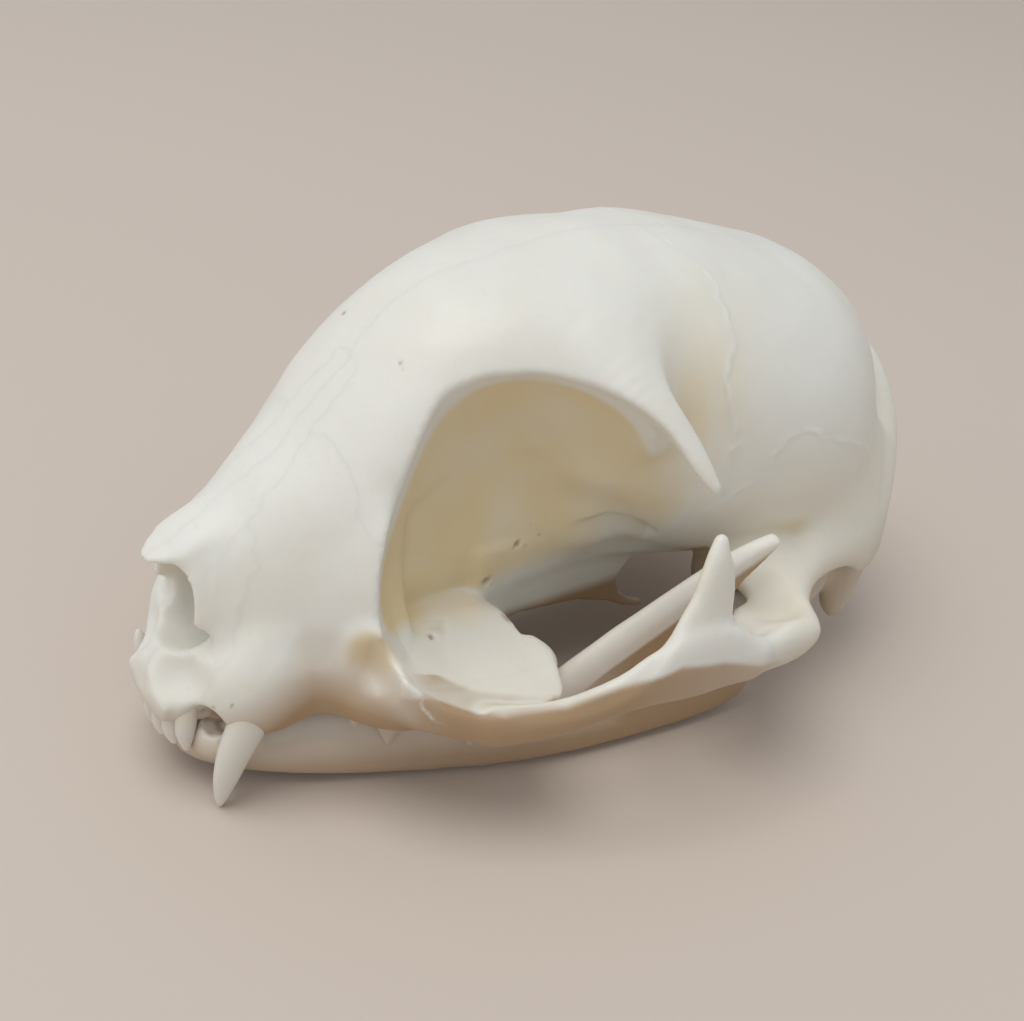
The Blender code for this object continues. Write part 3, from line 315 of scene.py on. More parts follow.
# Bones as regions, in the order in which they take their share: name, paired, inner |x|, side
# outline (y, z) and an outline seen from above (|x|, y)
BONES = [
    ("occipital", False, 0,
     [(79, -30), (79.4, 2), (84.4, 16), (81.6, 34), (110, 34), (110, -30)],
     None),
    ("skull_base", False, 0,
     [(33, -30), (33, 9), (78.7, 9), (78.7, -30)],
     [(-1, 33), (9.4, 33), (9.4, 58), (5, 64), (5, 78.7), (-1, 78.7)]),
    ("zygomatic", True, 19.2,
     [(17.2, 16), (21.4, -6), (57, -6), (56.4, 2), (50.8, 10.8), (53, 21.6), (30, 21.6)],
     None),
    ("temporal", True, 0.15,
     [(50, -20), (90, -20), (90, 2), (79, 12), *reversed(SQUAMOSAL_SUTURE), (53, 16)],
     None),
    ("parietal", True, 0,
     [(54.9, 12), *reversed(CORONAL_SUTURE), (54.6, 50), (96, 50), (96, 0)],
     None),
    ("nasal", True, 0,
     [(-6, 8.4), (22.4, 21.6), (22.4, 50), (-6, 50)],
     [(-1, -6), (4.8, -6), (4.6, 5), (2.8, 14), (2, 21), (-1, 21)]),
    ("frontal", True, 0,
     [(17, 19), (22, 14), (33, 9), (60, 9), (60, 50), (15, 50)],
     None),
    ("premaxilla", True, 0,
     [(-6, -12), (4.4, -12), (5, 2), (9.2, 20), (-6, 20)],
     [(-1, -8), (7, -8), (7, 3), (9.6, 9.6), (-1, 9.6)]),
    ("maxilla", True, 0,
     [(-20, -30), (90, -30), (90, 60), (-20, 60)],
     None),
]

# Upper edge of the cheek arch's flank, below which the flank gets painted warm shade: y, z there,
# and how dark that painted shade is
ARCH_EDGE = [
    (16, 19, 21.4, 25.4, 31, 36.8, 41.5, 46.5, 51.2, 56),
    (5, 6, 5.2, 4.4, 5, 7, 8.8, 8, 6.4, 5.4),
    (0.4, 0.9, 1, 1, 1, 1, 0.9, 0.8, 0.7, 0.3),
]
ARCH_INNERMOST = 17.5
# Inner side of the cheek arch: y, and |x| there
ARCH_INSIDE = [(18, 21, 25.4, 31, 36.8, 41.5, 56, 62), (0, 16, 20.8, 24, 26, 27.2, 27, 0)]
# Height below which the bone gets painted warm shade, that stands for shade and reflected light
# from below: y, and z there
SHADE_LEVEL = [(3, 8, 12, 22, 30), (0, 5, 9.5, 9, 8)]
JAW_SHADE_LEVEL = -1.0
# Share of that painted shade: y, and the share there
SKULL_SHADE_SHARE = [(50, 70), (1, 0.55)]
JAW_SHADE_SHARE = [(8, 20, 44), (0.75, 0.85, 1)]
# Places of painted tan shade: centre, radius, strength
SHADE_PLACES = [
    ((0, 4, 9), 5, 0.3), ((15.6, 16, 7.6), 2.8, 0.9), ((7.1, 7.8, 11.6), 5, 0.16),
    ((29.4, 44.5, 15.7), 5, 0.22), ((15, 52, 32), 9, 0.12),
]
# The back of the eye socket's floor gets painted tan shade too
FLOOR_SHADE_CENTRES = [(8.4, 24, 5.8), (8.8, 30, 5.8)]
FLOOR_SHADE_RADIUS, FLOOR_SHADE = 4.2, 0.42
# How the sutures wander: a seed for each axis, wavelength, distance
SUTURE_WANDER = [((3, 4, 5), 2.4, 0.22), ((6, 7, 8), 9.0, 0.35)]
# Uneven surface: wavelength, seed, height
SKULL_WAVES = [(6, 21, 0.025), (2.2, 22, 0.008)]
JAW_WAVES = [(5, 23, 0.03)]
# How far round a point the bone is felt, when its hollows are told from its faces for their painted
# shade
SKULL_FEEL, JAW_FEEL, FEEL_STEP = 7.0, 5.0, 3
# Share of bone round a point from which it gets painted shade as a hollow, and at which that
# painted shade is full
SKULL_HOLLOW_SHADE, JAW_HOLLOW_SHADE = (0.51, 0.67), (0.52, 0.72)
SEAM_SHARE = 0.2
# Share of the painted hollow shade that the jaw keeps above its lower part
JAW_LEAST_HOLLOW_SHADE = 0.1
# Teeth get painted shade at the root, over this height
ROOT_SHADE, ROOT_HEIGHT = 0.3, 1.2
# Share of the painted underside shade over each whole tooth; the cheek teeth sit low, in shade
# between the jaws
CHEEK_TOOTH_SHADE, FRONT_TOOTH_SHADE = 0.6, 0.1

# Surfaces: values that are the same all over
BONE_SURFACE = {
    "Subsurface Radius": (1.0, 0.72, 0.48), "Subsurface Scale": 0.0012, "Specular IOR Level": 0.42,
}
ENAMEL_SURFACE = {"Coat Weight": 0.35, "Coat Roughness": 0.18}
ROUGHNESS_RANGE = 0.09
BUMP_STRENGTH, BUMP_DEPTH = 0.16, 0.00018
# Scales of the noises in the bone's colour, gloss and relief
PATCH_SCALE, SPECK_SCALE, GLOSS_SCALE = 70.0, 900.0, 160.0
GRAIN_SCALE, PORE_SCALE, PORE_PATCH_SCALE = 420.0, 1500.0, 110.0

# Camera in the skull's own frame: turn round the skull, height and roll in degrees, millimetres
VIEW_TURN, VIEW_RISE, VIEW_ROLL = 52.5, 32.8, 7.0
VIEW_SHIFT = (2.3, 4.1)
VIEW_DISTANCE = 165.0
VIEW_TARGET = (0.0, 45.0, 12.0)
SENSOR_WIDTH = 36.0
NEAREST_SEEN = 0.01

# Lights and floor, in metres: place, point it faces, width, colour
KEY_LIGHT = ((0.02, -0.22, 0.8), (0, 0, 0.02), 0.6, (1.0, 0.99, 0.97))
FRONT_LIGHT = ((-0.1, -0.75, 0.22), (0, -0.03, 0.02), 0.5, (1.0, 0.98, 0.95))
ROOM_COLOR = (0.93, 0.97, 1.0, 1)
FLOOR_HALF = 2.5
FLOOR_ROUGHNESS = 0.8


def smooth_rows(rows, steps=8):
    """Rows on a smooth curve through the given rows, with more of them."""
    rows = np.array(rows, float)
    ends = np.vstack([rows[:1], rows, rows[-1:]])
    t = (np.arange(steps) / steps)[:, None]
    result = []
    for a, b, c, d in zip(ends, ends[1:], ends[2:], ends[3:]):
        bend = 2 * a - 5 * b + 4 * c - d + t * (3 * (b - c) + d - a)
        result.append(b + 0.5 * t * (c - a + t * bend))
    return np.vstack(result + [rows[-1:]])


def melt(a, b, width):
    """Union of two distances whose crease is filled over the given width."""
    share = np.maximum(width - np.abs(a - b), 0.0) / width
    return np.minimum(a, b) - share * share * (width / 4)


def carve(a, b, width):
    """Distance a with b taken out, its edge rounded over the given width."""
    return -melt(-a, b, width)


class BoneField:
    """Distance to the bone's surface on an even grid, below zero inside the bone."""

    def __init__(self, low, high, grain):
        self.grain = grain
        self.low = np.array(low, float)
        count = np.ceil((np.array(high) - self.low) / grain).astype(int) + 1
        self.values = np.full(count, FAR, np.float32)
        self.axes = [(start + grain * np.arange(number)).astype(np.float32)
                     for start, number in zip(self.low, count)]

    def window(self, low, high, margin):
        """Slices and coordinates of the grid inside a box."""
        cuts, axes = [], []
        for i in range(3):
            first = max(int((low[i] - margin - self.low[i]) / self.grain), 0)
            last = min(int((high[i] + margin - self.low[i]) / self.grain) + 2, len(self.axes[i]))
            cuts.append(slice(first, max(last, first)))
            shape = [1, 1, 1]
            shape[i] = -1
            axes.append(self.axes[i][cuts[-1]].reshape(shape))
        return tuple(cuts), axes

    def grow(self, form, width):
        """Melt a form into the bone."""
        self.change(form, width, melt)

    def take(self, form, width):
        """Take a form out of the bone."""
        self.change(form, width, carve)

    def change(self, form, width, how):
        """Melt or carve a form in its own part of the grid."""
        cuts, distance = form(self, width)
        if distance.size:
            self.values[cuts] = how(self.values[cuts], distance, width)


def mirrored(half):
    """Field of both halves from one that starts at x = 0."""
    whole = copy.copy(half)
    whole.low = half.low * (0, 1, 1) - (half.axes[0][-1], 0, 0)
    whole.values = np.concatenate([half.values[:0:-1], half.values])
    whole.axes = [np.concatenate([-half.axes[0][:0:-1], half.axes[0]]), *half.axes[1:]]
    return whole


def loft(rows, shift=0.0, cap=1.5):
    """Body of superellipse sections along Y, centred on x = shift, its ends rounded by cap."""
    rows = smooth_rows(rows)
    low = (shift - rows[:, 1].max(), rows[0, 0], rows[:, 2].min())
    high = (shift + rows[:, 1].max(), rows[-1, 0], rows[:, 3].max())

    def form(field, width):
        cuts, (x, y, z) = field.window(low, high, width + 2)
        at = np.clip(y.ravel(), rows[0, 0], rows[-1, 0])
        half, bottom, top, widest, power = (
            np.interp(at, rows[:, 0], rows[:, i]).reshape(1, -1, 1).astype(np.float32)
            for i in range(1, 6))
        rise = z - widest
        reach = np.where(rise > 0, top - widest, widest - bottom)
        shape = (np.abs((x - shift) / half) ** power + np.abs(rise / reach) ** power) ** (1 / power)
        slope = np.sqrt(sum(g * g for g in np.gradient(shape, field.grain)))
        side = (shape - 1) / np.maximum(slope, LOFT_LEAST_SLOPE)
        ends = np.abs(y - (rows[0, 0] + rows[-1, 0]) / 2) - (rows[-1, 0] - rows[0, 0]) / 2
        return cuts, -melt(-side, -ends, cap)
    return form


def ellipsoid_distance(parts):
    """Distance to an ellipsoid, from pairs of an offset along an axis and the radius there."""
    near = np.sqrt(sum((a / r) ** 2 for a, r in parts))
    slope = np.sqrt(sum((a / (r * r)) ** 2 for a, r in parts))
    return near * (near - 1) / np.maximum(slope, BALL_LEAST_SLOPE)


def sweep(rows, up=(0, 0, 1)):
    """Flattened tube along a curve; its height lies along the up direction."""
    rows = smooth_rows(rows, 4)
    centres, sizes = rows[:, :3], rows[:, 3:] / 2
    along = np.gradient(centres, axis=0)
    along /= np.linalg.norm(along, axis=1, keepdims=True)
    tall = np.array(up) - along * (along @ np.array(up))[:, None]
    tall /= np.linalg.norm(tall, axis=1, keepdims=True)
    thick = np.cross(along, tall)
    reach = sizes.max()

    def form(field, width):
        cuts, axes = field.window(centres.min(0) - reach, centres.max(0) + reach, width + 1)
        result = np.full([len(axis.ravel()) for axis in axes], FAR, np.float32)
        for i in range(len(rows) - 1):
            low = np.minimum(centres[i], centres[i + 1]) - reach
            high = np.maximum(centres[i], centres[i + 1]) + reach
            inner, (x, y, z) = field.window(low, high, width + 1)
            local = tuple(slice(a.start - b.start, a.stop - b.start) for a, b in zip(inner, cuts))
            step = centres[i + 1] - centres[i]
            offset = [axis - centres[i][k] for k, axis in enumerate((x, y, z))]
            t = sum(offset[k] * step[k] for k in range(3)) / (step @ step)
            t = np.clip(t, 0, 1).astype(np.float32)
            from_line = [offset[k] - t * step[k] for k in range(3)]
            parts = []
            for axis, size in ((tall, sizes[:, 0]), (thick, sizes[:, 1]), (along, sizes.min(1))):
                turned = [axis[i][k] + t * (axis[i + 1][k] - axis[i][k]) for k in range(3)]
                across = sum(from_line[k] * turned[k] for k in range(3))
                parts.append((across, size[i] + t * (size[i + 1] - size[i])))
            result[local] = np.minimum(result[local], ellipsoid_distance(parts))
        return cuts, result
    return form


def ball(centre, radii, turn=0.0, tilt=0.0):
    """Ellipsoid turned about Z and tilted about X, in degrees."""
    t, u = math.radians(turn), math.radians(tilt)
    turned = np.array([[math.cos(t), -math.sin(t), 0], [math.sin(t), math.cos(t), 0], [0, 0, 1]])
    tilted = np.array([[1, 0, 0], [0, math.cos(u), -math.sin(u)], [0, math.sin(u), math.cos(u)]])
    axes = (turned @ tilted).T
    centre, radii = np.array(centre, float), np.array(radii, float)
    reach = np.sqrt(((axes * radii[:, None]) ** 2).sum(0))

    def form(field, width):
        cuts, grid = field.window(centre - reach, centre + reach, width + 1)
        offset = [grid[k] - centre[k] for k in range(3)]
        parts = [(sum(offset[k] * axis[k] for k in range(3)), r) for axis, r in zip(axes, radii)]
        return cuts, ellipsoid_distance(parts).astype(np.float32)
    return form


def line_gap(start, end, a, b):
    """Squared distance in the plane from points (a, b) to a straight line between two ends."""
    (a0, b0), (a1, b1) = start, end
    da, db = a1 - a0, b1 - b0
    t = np.clip(((a - a0) * da + (b - b0) * db) / (da * da + db * db), 0, 1)
    return (a - a0 - t * da) ** 2 + (b - b0 - t * db) ** 2


def course_distance(course, a, b):
    """Distance in the plane to an open course of points."""
    return np.sqrt(np.minimum.reduce([line_gap(*ends, a, b) for ends in zip(course, course[1:])]))


def inside_distance(outline, a, b):
    """Signed distance in the plane to a closed outline, below zero inside."""
    inside = np.zeros(np.broadcast(a, b).shape, bool)
    for (a0, b0), (a1, b1) in zip(outline, outline[1:] + outline[:1]):
        if b0 != b1:
            inside ^= ((b0 > b) != (b1 > b)) & (a < (b - b0) / (b1 - b0) * (a1 - a0) + a0)
    return np.where(inside, -1.0, 1.0) * course_distance(outline + outline[:1], a, b)


def plate(outline, thickness, middle, lean, edge=0.8):
    """Plate with a side outline (y, z), standing at x = middle + lean . (y, z)."""
    ys, zs = [p[0] for p in outline], [p[1] for p in outline]
    spots = [middle + lean[0] * y + lean[1] * z for y, z in outline]

    def form(field, width):
        low = (min(spots) - thickness, min(ys), min(zs))
        high = (max(spots) + thickness, max(ys), max(zs))
        cuts, (x, y, z) = field.window(low, high, width + 1)
        rim = inside_distance(outline, y, z)
        face = np.abs(x - middle - lean[0] * y - lean[1] * z) - thickness / 2
        corner = np.hypot(np.maximum(rim + edge, 0), np.maximum(face + edge, 0))
        flat = np.minimum(np.maximum(rim, face) + edge, 0)
        return cuts, (corner + flat - edge).astype(np.float32)
    return form


def net(field):
    """Even quad skin of the field's zero surface: points in millimetres and faces."""
    v = field.values
    inside = v < 0
    count = np.array(v.shape) - 1
    mixed = np.zeros(count, np.int8)
    for i, j, k in product((0, 1), repeat=3):
        mixed += inside[i:count[0] + i, j:count[1] + j, k:count[2] + k]
    cells = np.argwhere((mixed > 0) & (mixed < 8))
    number = np.full(count, -1, np.int32)
    number[tuple(cells.T)] = np.arange(len(cells))
    total, hits = np.zeros((len(cells), 3)), np.zeros(len(cells))
    for start, axis in product(product((0, 1), repeat=3), range(3)):
        if start[axis]:
            continue
        end = np.array(start)
        end[axis] = 1
        a, b = v[tuple((cells + start).T)], v[tuple((cells + end).T)]
        crossed = (a < 0) != (b < 0)
        spot = cells + np.array(start, float)
        spot[:, axis] += np.where(crossed, a / np.where(crossed, a - b, 1), 0)
        total += spot * crossed[:, None]
        hits += crossed
    points = field.low + field.grain * total / hits[:, None]
    faces = []
    for axis in range(3):
        b, c = (axis + 1) % 3, (axis + 2) % 3
        near = [slice(1, count[i]) for i in range(3)]
        near[axis] = slice(0, count[axis])
        ahead = list(near)
        ahead[axis] = slice(1, count[axis] + 1)
        here, there = inside[tuple(near)], inside[tuple(ahead)]
        for out, found in ((True, here & ~there), (False, ~here & there)):
            at = np.argwhere(found)
            for i in range(3):
                at[:, i] += 0 if i == axis else 1
            ring = []
            for db, dc in ((0, 0), (1, 0), (1, 1), (0, 1)):
                cell = at.copy()
                cell[:, b] -= db
                cell[:, c] -= dc
                ring.append(number[tuple(cell.T)])
            ring = np.stack(ring, 1)
            faces.append(ring if out else ring[:, ::-1])
    return points, np.vstack(faces)


def skull_forms():
    """Forms that melt into the left half of the upper skull, each with its blend width."""
    return [
        (loft(BRAINCASE), 1.0), (loft(FRONTAL_ROOF), 1.2), (loft(MUZZLE), 1.5),
        (loft(ORBIT_WALL), 1.2), (loft(PALATE), 1.2), (loft(ORBIT_FLOOR, ORBIT_FLOOR_CENTRE), 1.2),
        (loft(SKULL_FLOOR), 1.5), (loft(PREMAXILLA_FRONT), 2.4), (sweep(NASAL_TIP), 1.6),
        (ball(*CANINE_SWELLING), 3.0), (ball(*ARCH_ROOT), 2.0),
        (sweep(ZYGOMATIC_ARCH), 1.6), (sweep(JUGAL_PROCESS, BACKWARDS), 1.6),
        (sweep(SQUAMOSAL_SHELF), 1.6), (sweep(MASTOID_WING, MASTOID_UP), 3.0),
        (sweep(POSTORBITAL_PROCESS, BACKWARDS), 1.6), (sweep(TOOTH_RIDGE), 3.4),
        (plate(*PTERYGOID), 1.2),
        (sweep(NUCHAL_CREST, BACKWARDS), 1.5),
        (ball(*EAR_CAPSULE), 1.5), (ball(*EAR_PROCESS), 1.0), (ball(*NECK_CONDYLE), 1.0),
    ]


def skull_hollows():
    """Hollows taken out of the left half of the upper skull, each with its edge's rounding."""
    return [
        (loft(ORBIT, ORBIT_CENTRE), 0.6),
        (sweep(TEMPORAL_HOLLOW, BACKWARDS), 1.2),
        (plate(*THIN_WALL_HOLLOW), 0.5),
        (loft(APERTURE), 0.4), (ball(*APERTURE_CORNER), 0.9),
        (ball(*CHEEK_CANAL), 1.2), (ball(*LIP_SIDE), 1.2),
        (ball(CONDYLE_CENTRE, CONDYLE_BED_RADII, CONDYLE_TURN), 0.6),
        (ball(*LOWER_CANINE_NOTCH), 0.8), (ball(*EAR_OPENING), 0.8),
        (ball(*ARCH_HOLLOW), 1.4), (ball(*SPINE_OPENING), 1.0),
    ]


def skull_field(grain):
    """Field of the whole upper skull, right half mirrored from the left."""
    half = BoneField(*SKULL_BOX, grain)
    for form, width in skull_forms():
        half.grow(form, width)
    for form, width in skull_hollows():
        half.take(form, width)
    half.grow(sweep(ZYGOMATIC_ARCH[FREE_ARCH]), 1.4)
    half.grow(sweep(JUGAL_PROCESS, BACKWARDS), 0.8)
    return mirrored(half)


def socket_field(field):
    """Distance to both open eye sockets on the skull's grid."""
    result = np.full(field.values.shape, FAR, np.float32)
    for form in (loft(ORBIT, ORBIT_CENTRE), loft(ORBIT, -ORBIT_CENTRE)):
        cuts, distance = form(field, 2.0)
        result[cuts] = np.minimum(result[cuts], distance)
    return result


def jaw_field(grain):
    """Field of the left half of the lower jaw, cut off at the chin's seam and at the ground."""
    field = BoneField(*JAW_BOX, grain)
    field.grow(sweep(MANDIBLE_BODY, JAW_UP), 1.0)
    middle = RAMUS_MIDDLE[0] - RAMUS_FLARE[0] * RAMUS_MIDDLE[1]
    field.grow(plate(RAMUS_OUTLINE, RAMUS_THICKNESS, middle, RAMUS_FLARE, RAMUS_RIM), 2.0)
    field.grow(sweep(RAMUS_EDGE, RAMUS_EDGE_UP), 1.0)
    field.grow(ball(CONDYLE_CENTRE, CONDYLE_RADII, CONDYLE_TURN), 1.5)
    field.grow(ball(*CONDYLE_NECK), 1.5)
    field.grow(ball(*CHIN), 2.0)
    field.grow(ball(*CANINE_BED), 1.5)
    field.take(ball(*EMPTY_SOCKET), 0.4)
    field.values = np.maximum(field.values, CHIN_SEAM - field.axes[0].reshape(-1, 1, 1))
    field.values = np.maximum(field.values, REST_HEIGHT - field.axes[2].reshape(1, 1, -1))
    return field


def ripple(points, wavelength, seed, waves=14):
    """Even, smooth noise of about -1 to 1, the same at each run."""
    rng = np.random.default_rng(seed)
    turns = rng.normal(size=(waves, 3))
    turns *= 2 * math.pi / wavelength / np.linalg.norm(turns, axis=1, keepdims=True)
    phases = rng.uniform(0, 2 * math.pi, waves)
    return np.sin(points @ turns.T + phases).sum(1) / math.sqrt(waves)


def bone_shares(points):
    """Number of each point's bone, distance from its edge, and if the point is on the right."""
    wander = sum(np.stack([ripple(points, wavelength, seed) for seed in seeds], 1) * distance
                 for seeds, wavelength, distance in SUTURE_WANDER)
    x, y, z = (points + wander).T
    depth = []
    for _, paired, inner, side, plan in BONES:
        edge = inside_distance(side, y, z)
        if plan:
            edge = np.maximum(edge, inside_distance(plan, np.abs(x), y))
        if paired:
            edge = np.maximum(edge, inner - np.abs(x))
        depth.append(edge)
    owner = np.argmax(np.array(depth) < 0, axis=0)
    margin = -np.take_along_axis(np.array(depth), owner[None], 0)[0]
    for number, edge in enumerate(depth):
        margin = np.where(number < owner, np.minimum(margin, np.maximum(edge, 0)), margin)
    return owner, margin, x < 0


def point_normals(points, faces):
    """Area-weighted normals of a quad skin."""
    a, b, c, d = (points[faces[:, i]] for i in range(4))
    normals = np.cross(c - a, d - b)
    result = np.zeros_like(points)
    for i in range(4):
        np.add.at(result, faces[:, i], normals)
    return result / np.maximum(np.linalg.norm(result, axis=1, keepdims=True), 1e-9)


def relax(points, faces, rounds, share=0.5):
    """Even out the skin: each point moves towards the middle of its neighbours."""
    edges = np.vstack([faces[:, [i, (i + 1) % 4]] for i in range(4)])
    count = np.bincount(edges.ravel(), minlength=len(points))[:, None]
    for _ in range(rounds):
        total = np.zeros_like(points)
        for axis in range(3):
            total[:, axis] = (np.bincount(edges[:, 0], points[edges[:, 1], axis], len(points))
                              + np.bincount(edges[:, 1], points[edges[:, 0], axis], len(points)))
        points = points + share * (total / np.maximum(count, 1) - points)
    return points


def field_skin(field):
    """Points and faces of the skin on a field."""
    points, faces = net(field)
    return relax(points, faces, 2), faces


def right_side(points, faces):
    """The same skin on the right half of the skull."""
    return points * (-1, 1, 1), faces[:, ::-1]


def cut_out(points, faces, chosen, *others):
    """Points, faces and point values of some of the faces only."""
    faces = faces[chosen]
    used, faces = np.unique(faces, return_inverse=True)
    return (points[used], faces.reshape(-1, 4)) + tuple(other[used] for other in others)


def sampled(field_values, low, grain, points):
    """Grid values between the nodes, at the given points."""
    spot = (points - low) / grain
    base = np.clip(np.floor(spot).astype(int), 0, np.array(field_values.shape) - 2)
    share = np.clip(spot - base, 0, 1)
    result = np.zeros(len(points))
    for corner in product((0, 1), repeat=3):
        weight = np.where(corner, share, 1 - share).prod(1)
        result += weight * field_values[tuple((base + corner).T)]
    return result


def blurred(values, reach):
    """Box blur of a grid, twice along each axis."""
    for axis in (0, 1, 2, 0, 1, 2):
        width = [(0, 0)] * 3
        width[axis] = (reach + 1, reach)
        total = np.cumsum(np.pad(values, width, mode="edge"), axis=axis, dtype=np.float64)
        count = values.shape[axis]
        near = [slice(None)] * 3
        far = [slice(None)] * 3
        near[axis] = slice(0, count)
        far[axis] = slice(2 * reach + 1, 2 * reach + 1 + count)
        values = ((total[tuple(far)] - total[tuple(near)]) / (2 * reach + 1)).astype(np.float32)
    return values


def shelter(field, points, reach):
    """How much bone stands round each point: 0.5 on a flat face, more in a hollow."""
    step = FEEL_STEP * field.grain
    solid = np.clip(0.5 - field.values[::FEEL_STEP, ::FEEL_STEP, ::FEEL_STEP] / step, 0, 1)
    return sampled(blurred(solid, int(reach / step)), field.low, step, points)


def ramp(values, none, full):
    """0 where the values reach the one bound, 1 at the other, and even between them."""
    return np.clip((values - none) / (full - none), 0, 1)


def on_left(points):
    """The points, with those of the right half mirrored to the left one."""
    return np.column_stack([np.abs(points[:, 0]), points[:, 1], points[:, 2]])


def uneven(points, waves):
    """Height of a smooth, uneven surface at each point."""
    return sum(ripple(points, wavelength, seed) * height for wavelength, seed, height in waves)


def fine_lines(points):
    """Lift and tint of the fine raised lines at each point."""
    y = points[:, 1] + ripple(points, 1.6, 31) * 0.16 + ripple(points, 5.0, 33) * 0.2
    z = points[:, 2] + ripple(points, 1.6, 32) * 0.16 + ripple(points, 5.0, 34) * 0.2
    side = np.abs(points[:, 0])
    lift, tint = np.zeros(len(points)), np.zeros(len(points))
    strength = 0.7 + 0.3 * ripple(points, 4.0, 35)
    for near, far, course, half, height, share in LINES:
        here = ramp(course_distance(course, y, z), half, 0) * ((side > near) & (side < far))
        lift = np.maximum(lift, here * height * strength)
        tint = np.maximum(tint, here * share * strength)
    return lift, np.clip(tint, 0, 1)


def small_spots(points):
    """Depth of the small holes at each point, and their brownness: stain with painted shade."""
    depth, brown = np.zeros(len(points)), np.zeros(len(points))
    ragged = 1 + 0.3 * ripple(points, 1.2, 41)
    for centre, radius, deep, brownness in SPOTS:
        away = np.linalg.norm(on_left(points) - centre, axis=1) * ragged / radius
        here = ramp(away, 1.4, 0.4)
        depth = np.maximum(depth, here * deep)
        brown = np.maximum(brown, here * brownness)
    return depth, brown


def glow(points, centre, radius):
    """1 round a place on both sides of the skull, fading to 0 beyond the radius."""
    return np.exp(-(np.linalg.norm(on_left(points) - centre, axis=1) / radius) ** 4)


def socket_shade(field, points, normals, closeness):
    """Painted tan shade inside the eye sockets, apart from their floor, which faces the light."""
    x, y, z = on_left(points).T
    socket = sampled(socket_field(field), field.low, field.grain, points)
    tan_shade = ramp(socket, 5.5, 1.5) * ramp(closeness, 0.38, 0.44)
    tan_shade *= np.maximum(ramp(normals[:, 2], 0.5, 0.2), ramp(z, 6.5, 8.5) * ramp(z, 20, 18))
    tan_shade *= ramp(x, 20.5, 16.5) * ramp(z, 3, 8) * ramp(y, 55, 46)
    return tan_shade * (0.85 + 0.15 * ripple(points, 9.0, 24))


def shade_patches(points):
    """Painted tan shade that isn't bound to hollows: low at the back, behind the brow, and in a few
    places.
    """
    x, y, z = on_left(points).T
    tan_shade = 0.3 * ramp(y, 50, 58) * ramp(z, 28, 16)
    tan_shade += 0.34 * np.exp(-((y - 52) / 5) ** 2 - ((z - 29) / 7) ** 2) * (x > 10)
    for centre, radius, strength in SHADE_PLACES:
        tan_shade += strength * glow(points, centre, radius)
    floor = [glow(points, centre, FLOOR_SHADE_RADIUS) for centre in FLOOR_SHADE_CENTRES]
    return tan_shade + FLOOR_SHADE * np.maximum(*floor)


def underside(points, normals, level):
    """How far a point lies below a level, and faces down or outwards: where painted underside shade
    goes.
    """
    return ramp(points[:, 2] - level, 0, -8) * ramp(normals[:, 2], 1, 0.4)


def arch_flank(points, normals):
    """How far a point lies on the cheek arch's flank, below its lit upper edge: where painted shade
    goes on the flank.
    """
    x, y, z = on_left(points).T
    edge, share = (np.interp(y, ARCH_EDGE[0], row) for row in ARCH_EDGE[1:])
    outward = ramp(normals[:, 0] * np.sign(points[:, 0]), -0.1, 0.2)
    return ramp(z - edge, 0.3, -0.3) * share * outward * (x > ARCH_INNERMOST)


def inner_wall(points):
    """1 on what lies inside the cheek arches, such as the eye socket's floor, 0 outside them."""
    x, y, z = on_left(points).T
    return ramp(x - np.interp(y, *ARCH_INSIDE), 0, -1.2) * ramp(z, -0.5, 1)


def skull_underside_shade(points, normals):
    """Painted warm shade, with reflected light from below, on the skull's lower edges and the
    arch's flank.
    """
    y = points[:, 1]
    low = underside(points, normals, np.interp(y, *SHADE_LEVEL))
    brown = np.maximum(low, arch_flank(points, normals))
    return brown * (1 - inner_wall(points)) * np.interp(y, *SKULL_SHADE_SHARE)


def jaw_underside_shade(points, normals, side):
    """Painted warm shade on the jaw's lower edge, and on its outer face below the lit front edge.
    """
    y, z = points[:, 1], points[:, 2]
    _, course, height, tall, _ = np.array(RAMUS_EDGE).T
    edge = np.interp(y, course, height - 0.4 * tall)
    face = ramp(y, 32, 46) * ramp(z - edge, 0, -1.2) * ramp(normals[:, 0] * side, 0.2, 0.5)
    return np.maximum(underside(points, normals, JAW_SHADE_LEVEL), face) * np.interp(y, *JAW_SHADE_SHARE)


